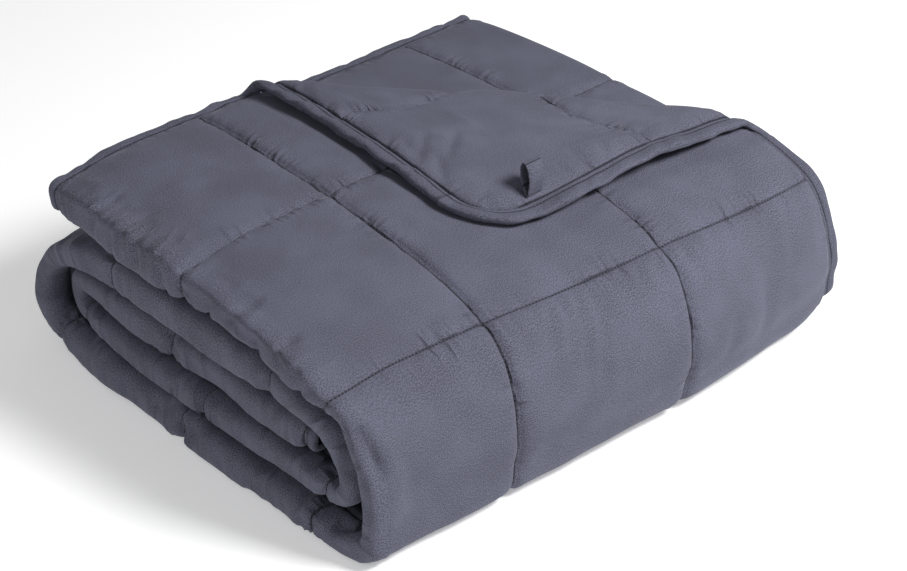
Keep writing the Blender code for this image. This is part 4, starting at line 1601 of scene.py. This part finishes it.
@dataclass(frozen=True)
class BrushedMicrofibre:
    """Polyester microfibre with a brushed nap: matt, speckled, paler where light grazes it."""

    name: str
    dark: str
    light: str
    flat: FlatBlanket
    # the nap: fine speckle, cloudy patches and a dull surface
    nap_grain: float = 0.00070
    nap_depth: float = 0.000012
    speckle: Pair = (0.38, 0.62)
    roughness: Pair = (0.82, 0.97)
    patch_size: float = 0.045
    patch_shade: float = 0.12
    middling: Pair = (0.3, 0.7)
    # soft rumples, the gathers at the seams and the wrinkles round the left fold
    rumple_size: float = 0.014
    rumple_stretch: float = 1.4
    rumple_depth: float = 0.00028
    pucker_size: Pair = (0.0098, 0.060)
    pucker_depth: float = 0.0024
    pucker_reach: Pair = (0.017, 0.0015)
    pucker_starts: Pair = (0.0, 0.0014)
    pucker_patch: Pair = (0.030, 0.05)
    pucker_patches: Pair = (0.40, 0.66)
    fold: Pair = (0.408, 0.484)
    fold_rise: float = 0.028
    fold_fall: float = 0.020
    fold_wrinkle_size: Pair = (0.024, 0.050)
    fold_wrinkle_depth: float = 0.0050
    fold_patch: Pair = (0.060, 0.050)
    fold_patches: Pair = (0.34, 0.66)
    # painted shade in the needle holes and along the drawn-in lines of the seams
    needle_pitch: float = 0.0027
    needle_hole: Pair = (0.00085, 0.45 * 0.00085)
    hole_shade: float = 0.8
    seam_painted_shade: str = "#0b0c11"
    seam_width: Pair = (0.0011, 0.0002)
    row_line: float = 0.32
    column_line: float = 0.66
    tape_lines: tuple[float, ...] = ()

    def build(self) -> bpy.types.Material:
        """Build the material, which reads the UV map "flat" in metres.

        A tape has its own stitched lines, at their places across it; the quilted cloth has rows
        and columns of them, with the wrinkles that they and the fold give it.
        """
        material, nodes = new_material(self.name)
        spot = nodes.add("ShaderNodeUVMap", uv_map="flat").outputs[0]
        grain = nodes.noise(spot, (self.nap_grain, self.nap_grain))
        patches = nodes.noise(spot, (self.patch_size, self.patch_size), detail=2.0)
        speckle = nodes.ranged(grain, self.speckle)
        streak = nodes.ranged(patches, self.middling, (-self.patch_shade, self.patch_shade))
        blend = nodes.math("ADD", speckle, streak, use_clamp=True)
        colour = nodes.mixed(blend, linear(self.dark), linear(self.light))
        nap = nodes.bump(grain, self.nap_depth)
        rumple = nodes.noise(spot, (self.rumple_size, self.rumple_stretch * self.rumple_size))
        normal = nodes.bump(rumple, self.rumple_depth, nap)
        place = nodes.add("ShaderNodeSeparateXYZ", {0: spot}).outputs
        for at in self.tape_lines:
            off = nodes.math("ABSOLUTE", nodes.math("ADD", place[1], -at))
            # painted shade along the tape's stitched line and in its needle holes
            painted_shade = self.paint_seam_shade(nodes, off, place[0], self.column_line)
            colour = nodes.mixed(painted_shade, colour, linear(self.seam_painted_shade))
        if not self.tape_lines:
            for along, over, line in ((0, 1, self.row_line), (1, 0, self.column_line)):
                off = self.off_seam(nodes, place[over])
                # painted shade along each seam line and in its needle holes
                painted_shade = self.paint_seam_shade(nodes, off, place[along], line)
                colour = nodes.mixed(painted_shade, colour, linear(self.seam_painted_shade))
                gathers = self.puckers(nodes, off, place[along], place[over])
                normal = nodes.bump(gathers, self.pucker_depth, normal)
            normal = nodes.bump(self.fold_wrinkles(nodes, place), self.fold_wrinkle_depth, normal)
        nodes.surface(
            Base_Color=colour,
            Roughness=nodes.ranged(grain, self.middling, self.roughness),
            Normal=normal,
            IOR=1.46,
            Specular_IOR_Level=0.2,
            Sheen_Weight=0.16,
            Sheen_Roughness=0.4,
            Sheen_Tint=linear("#c4c8d8"),
        )
        return material

    def off_seam(self, nodes: Nodes, over: Socket) -> Socket:
        """Measure how far a point lies from the nearest seam line, on either side of it."""
        return nodes.math("PINGPONG", nodes.math("ADD", over, -self.flat.binding), self.flat.square / 2)

    def paint_seam_shade(self, nodes: Nodes, off: Socket, along: Socket, line: float) -> Socket:
        """Paint shade along the drawn-in line of a seam, as dark as asked, and in its needle holes."""
        apart = nodes.pair(off, nodes.math("PINGPONG", along, self.needle_pitch / 2))
        away = nodes.add("ShaderNodeVectorMath", {0: apart}, operation="LENGTH").outputs["Value"]
        hole = nodes.ranged(away, self.needle_hole, (0.0, self.hole_shade))
        return nodes.math("MAXIMUM", hole, nodes.ranged(off, self.seam_width, (0.0, line)))

    def puckers(self, nodes: Nodes, off: Socket, along: Socket, over: Socket) -> Socket:
        """Give the height of the small gathers that stand square to a seam."""
        spot = nodes.pair(along, over)
        ridges = nodes.ridged(nodes.noise(spot, self.pucker_size))
        near = nodes.ranged(off, self.pucker_reach)
        starts = nodes.ranged(off, self.pucker_starts)
        patchy = nodes.ranged(nodes.noise(spot, self.pucker_patch), self.pucker_patches)
        return nodes.product(ridges, near, starts, patchy)

    def fold_wrinkles(self, nodes: Nodes, place: bpy.types.bpy_prop_collection) -> Socket:
        """Give the height of the wrinkles where the cloth goes round the left fold."""
        low, high = self.fold
        spot = nodes.pair(place[1], place[0])
        ridges = nodes.ridged(nodes.noise(spot, self.fold_wrinkle_size, detail=1.5))
        rises = nodes.ranged(place[0], (low, low + self.fold_rise))
        falls = nodes.ranged(place[0], (high, high - self.fold_fall))
        patchy = nodes.ranged(nodes.noise(spot, self.fold_patch), self.fold_patches, (0.1, 1.0))
        return nodes.product(ridges, rises, falls, patchy)


@dataclass(frozen=True)
class SpunThread:
    """Polyester sewing thread: the cloth's colour, with a slight shine along its twist."""

    name: str = "spun_thread"
    colour: str = "#3d3d47"
    twists_per_metre: float = 1800.0

    def build(self) -> bpy.types.Material:
        """Build the material."""
        material, nodes = new_material(self.name)
        place = nodes.add("ShaderNodeTexCoord").outputs["Object"]
        twist = nodes.add("ShaderNodeTexNoise", {"Vector": place, "Scale": self.twists_per_metre}).outputs[0]
        bump = nodes.bump(twist, 0.0002, strength=0.4)
        nodes.surface(Base_Color=linear(self.colour), Roughness=0.62, Normal=bump, Sheen_Weight=0.2)
        return material


# ---------------------------------------------------------------- studio


@dataclass(frozen=True)
class Softbox:
    """One soft light: where it stands, what it faces and how strong it is."""

    name: str
    place: tuple[float, float, float]
    size: float
    watts: float
    colour: str = "#ffffff"


@dataclass
class Studio:
    """The floor, the lights and the camera."""

    camera_place: tuple[float, float, float] = (-0.967, -1.046, 0.995)
    azimuth: float = math.radians(-43.0)
    elevation: float = math.radians(34.0)
    lens: float = 95.3
    sensor: float = 36.0
    floor_reach: float = 6.0
    room_light: float = 0.27
    lit_spot: tuple[float, float, float] = (0.0, 0.0, 0.08)
    lights: tuple[Softbox, ...] = (
        Softbox("key", (0.42, -0.84, 1.12), 0.40, 22.5),
        Softbox("fill", (-1.5, -0.1, 0.75), 1.2, 5.0),
    )

    def build(self) -> None:
        """Set the studio up around the blanket."""
        self.floor()
        self.world()
        for light in self.lights:
            self.softbox(light)
        data = bpy.data.cameras.new("camera")
        data.sensor_width = self.sensor
        data.lens = self.lens
        camera = in_scene("camera", data)
        camera.location = self.camera_place
        camera.rotation_euler = Euler((math.pi / 2 - self.elevation, 0.0, self.azimuth))
        bpy.context.scene.camera = camera
        bpy.context.scene.view_settings.view_transform = "Standard"

    def floor(self) -> None:
        """Lay a plain pale floor, which gives a soft, nearly white ground to rest on."""
        mesh = bpy.data.meshes.new("floor")
        reach = self.floor_reach
        corners = [(-reach, -reach, 0.0), (reach, -reach, 0.0), (reach, reach, 0.0), (-reach, reach, 0.0)]
        mesh.from_pydata(corners, [], [(0, 1, 2, 3)])
        material, nodes = new_material("pale_floor")
        glow = {"Emission_Color": linear("#ffffff"), "Emission_Strength": 0.3}
        nodes.surface(Base_Color=linear("#f2f2f2"), Roughness=0.9, **glow)
        mesh.materials.append(material)
        floor = in_scene("floor", mesh)
        floor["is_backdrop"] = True

    def world(self) -> None:
        """Fill the room with even white light."""
        world = bpy.data.worlds.new("room")
        world.use_nodes = True
        nodes = Nodes(world.node_tree)
        light = nodes.add("ShaderNodeBackground", {"Color": linear("#ffffff"), "Strength": self.room_light})
        nodes.add("ShaderNodeOutputWorld", {"Surface": light.outputs[0]})
        bpy.context.scene.world = world

    def softbox(self, light: Softbox) -> None:
        """Hang one soft light that faces the blanket."""
        data = bpy.data.lights.new(light.name, "AREA")
        data.size = light.size
        data.energy = light.watts
        data.color = linear(light.colour)[:3]
        obj = in_scene(light.name, data)
        obj.location = light.place
        obj.rotation_euler = (Vector(self.lit_spot) - obj.location).to_track_quat("-Z", "Y").to_euler()


# ---------------------------------------------------------------- the whole blanket


def dress(obj: bpy.types.Object, material: bpy.types.Material, slot: str, *nodes: str) -> bpy.types.Object:
    """Give a piece its material and its body, and hide the solids that it stands for.

    Args:
        obj: The piece.
        material: Its finish.
        slot: Not used.
        *nodes: Names of the solids that it replaces.

    Returns:
        The piece.
    """
    obj.data.materials.clear()
    obj.data.materials.append(material)
    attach(obj, "root")
    if nodes:
        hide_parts(*nodes)
    log.info("%s: %d faces", obj.name, len(obj.data.polygons))
    return obj


def main() -> None:
    """Build the blanket and its studio."""
    logging.basicConfig(level=logging.INFO, format="%(name)s: %(message)s")
    blanket = FoldedBlanket()
    flat = blanket.flat
    quilting = Quilting(flat, blanket.corner, blanket.thirds.strip_width)
    binding = EdgeBinding(blanket)
    cloth = BrushedMicrofibre("brushed_microfibre", "#424249", "#67697b", flat).build()
    tape = BrushedMicrofibre(
        name="bias_tape",
        dark="#3e3e46",
        light="#626475",
        flat=flat,
        rumple_size=0.006,
        rumple_depth=0.0010,
        tape_lines=binding.stitched_at,
    ).build()
    thread = SpunThread().build()
    Studio().build()

    cover = dress(QuiltedCover(blanket, quilting).build(), cloth, "brushed_cloth", "quilted_panel")
    bound = dress(binding.build(), tape, "binding_tape", "edge_binding")
    loop = dress(TapeLoop(*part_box("corner_loop")).build(), tape, "binding_tape", "corner_loop")
    quilt_sewing = dress(QuiltSewing(blanket, quilting).sew(thread), thread, "brushed_cloth")
    edge_sewing = dress(BindingSewing(blanket, binding).sew(thread), thread, "binding_tape")
    flat.width
    boxes = {"cad": CAD_BOX, "visual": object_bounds()}
    {name: [list(corner) for corner in box] for name, box in boxes.items()}


if __name__ == "__main__":
    main()
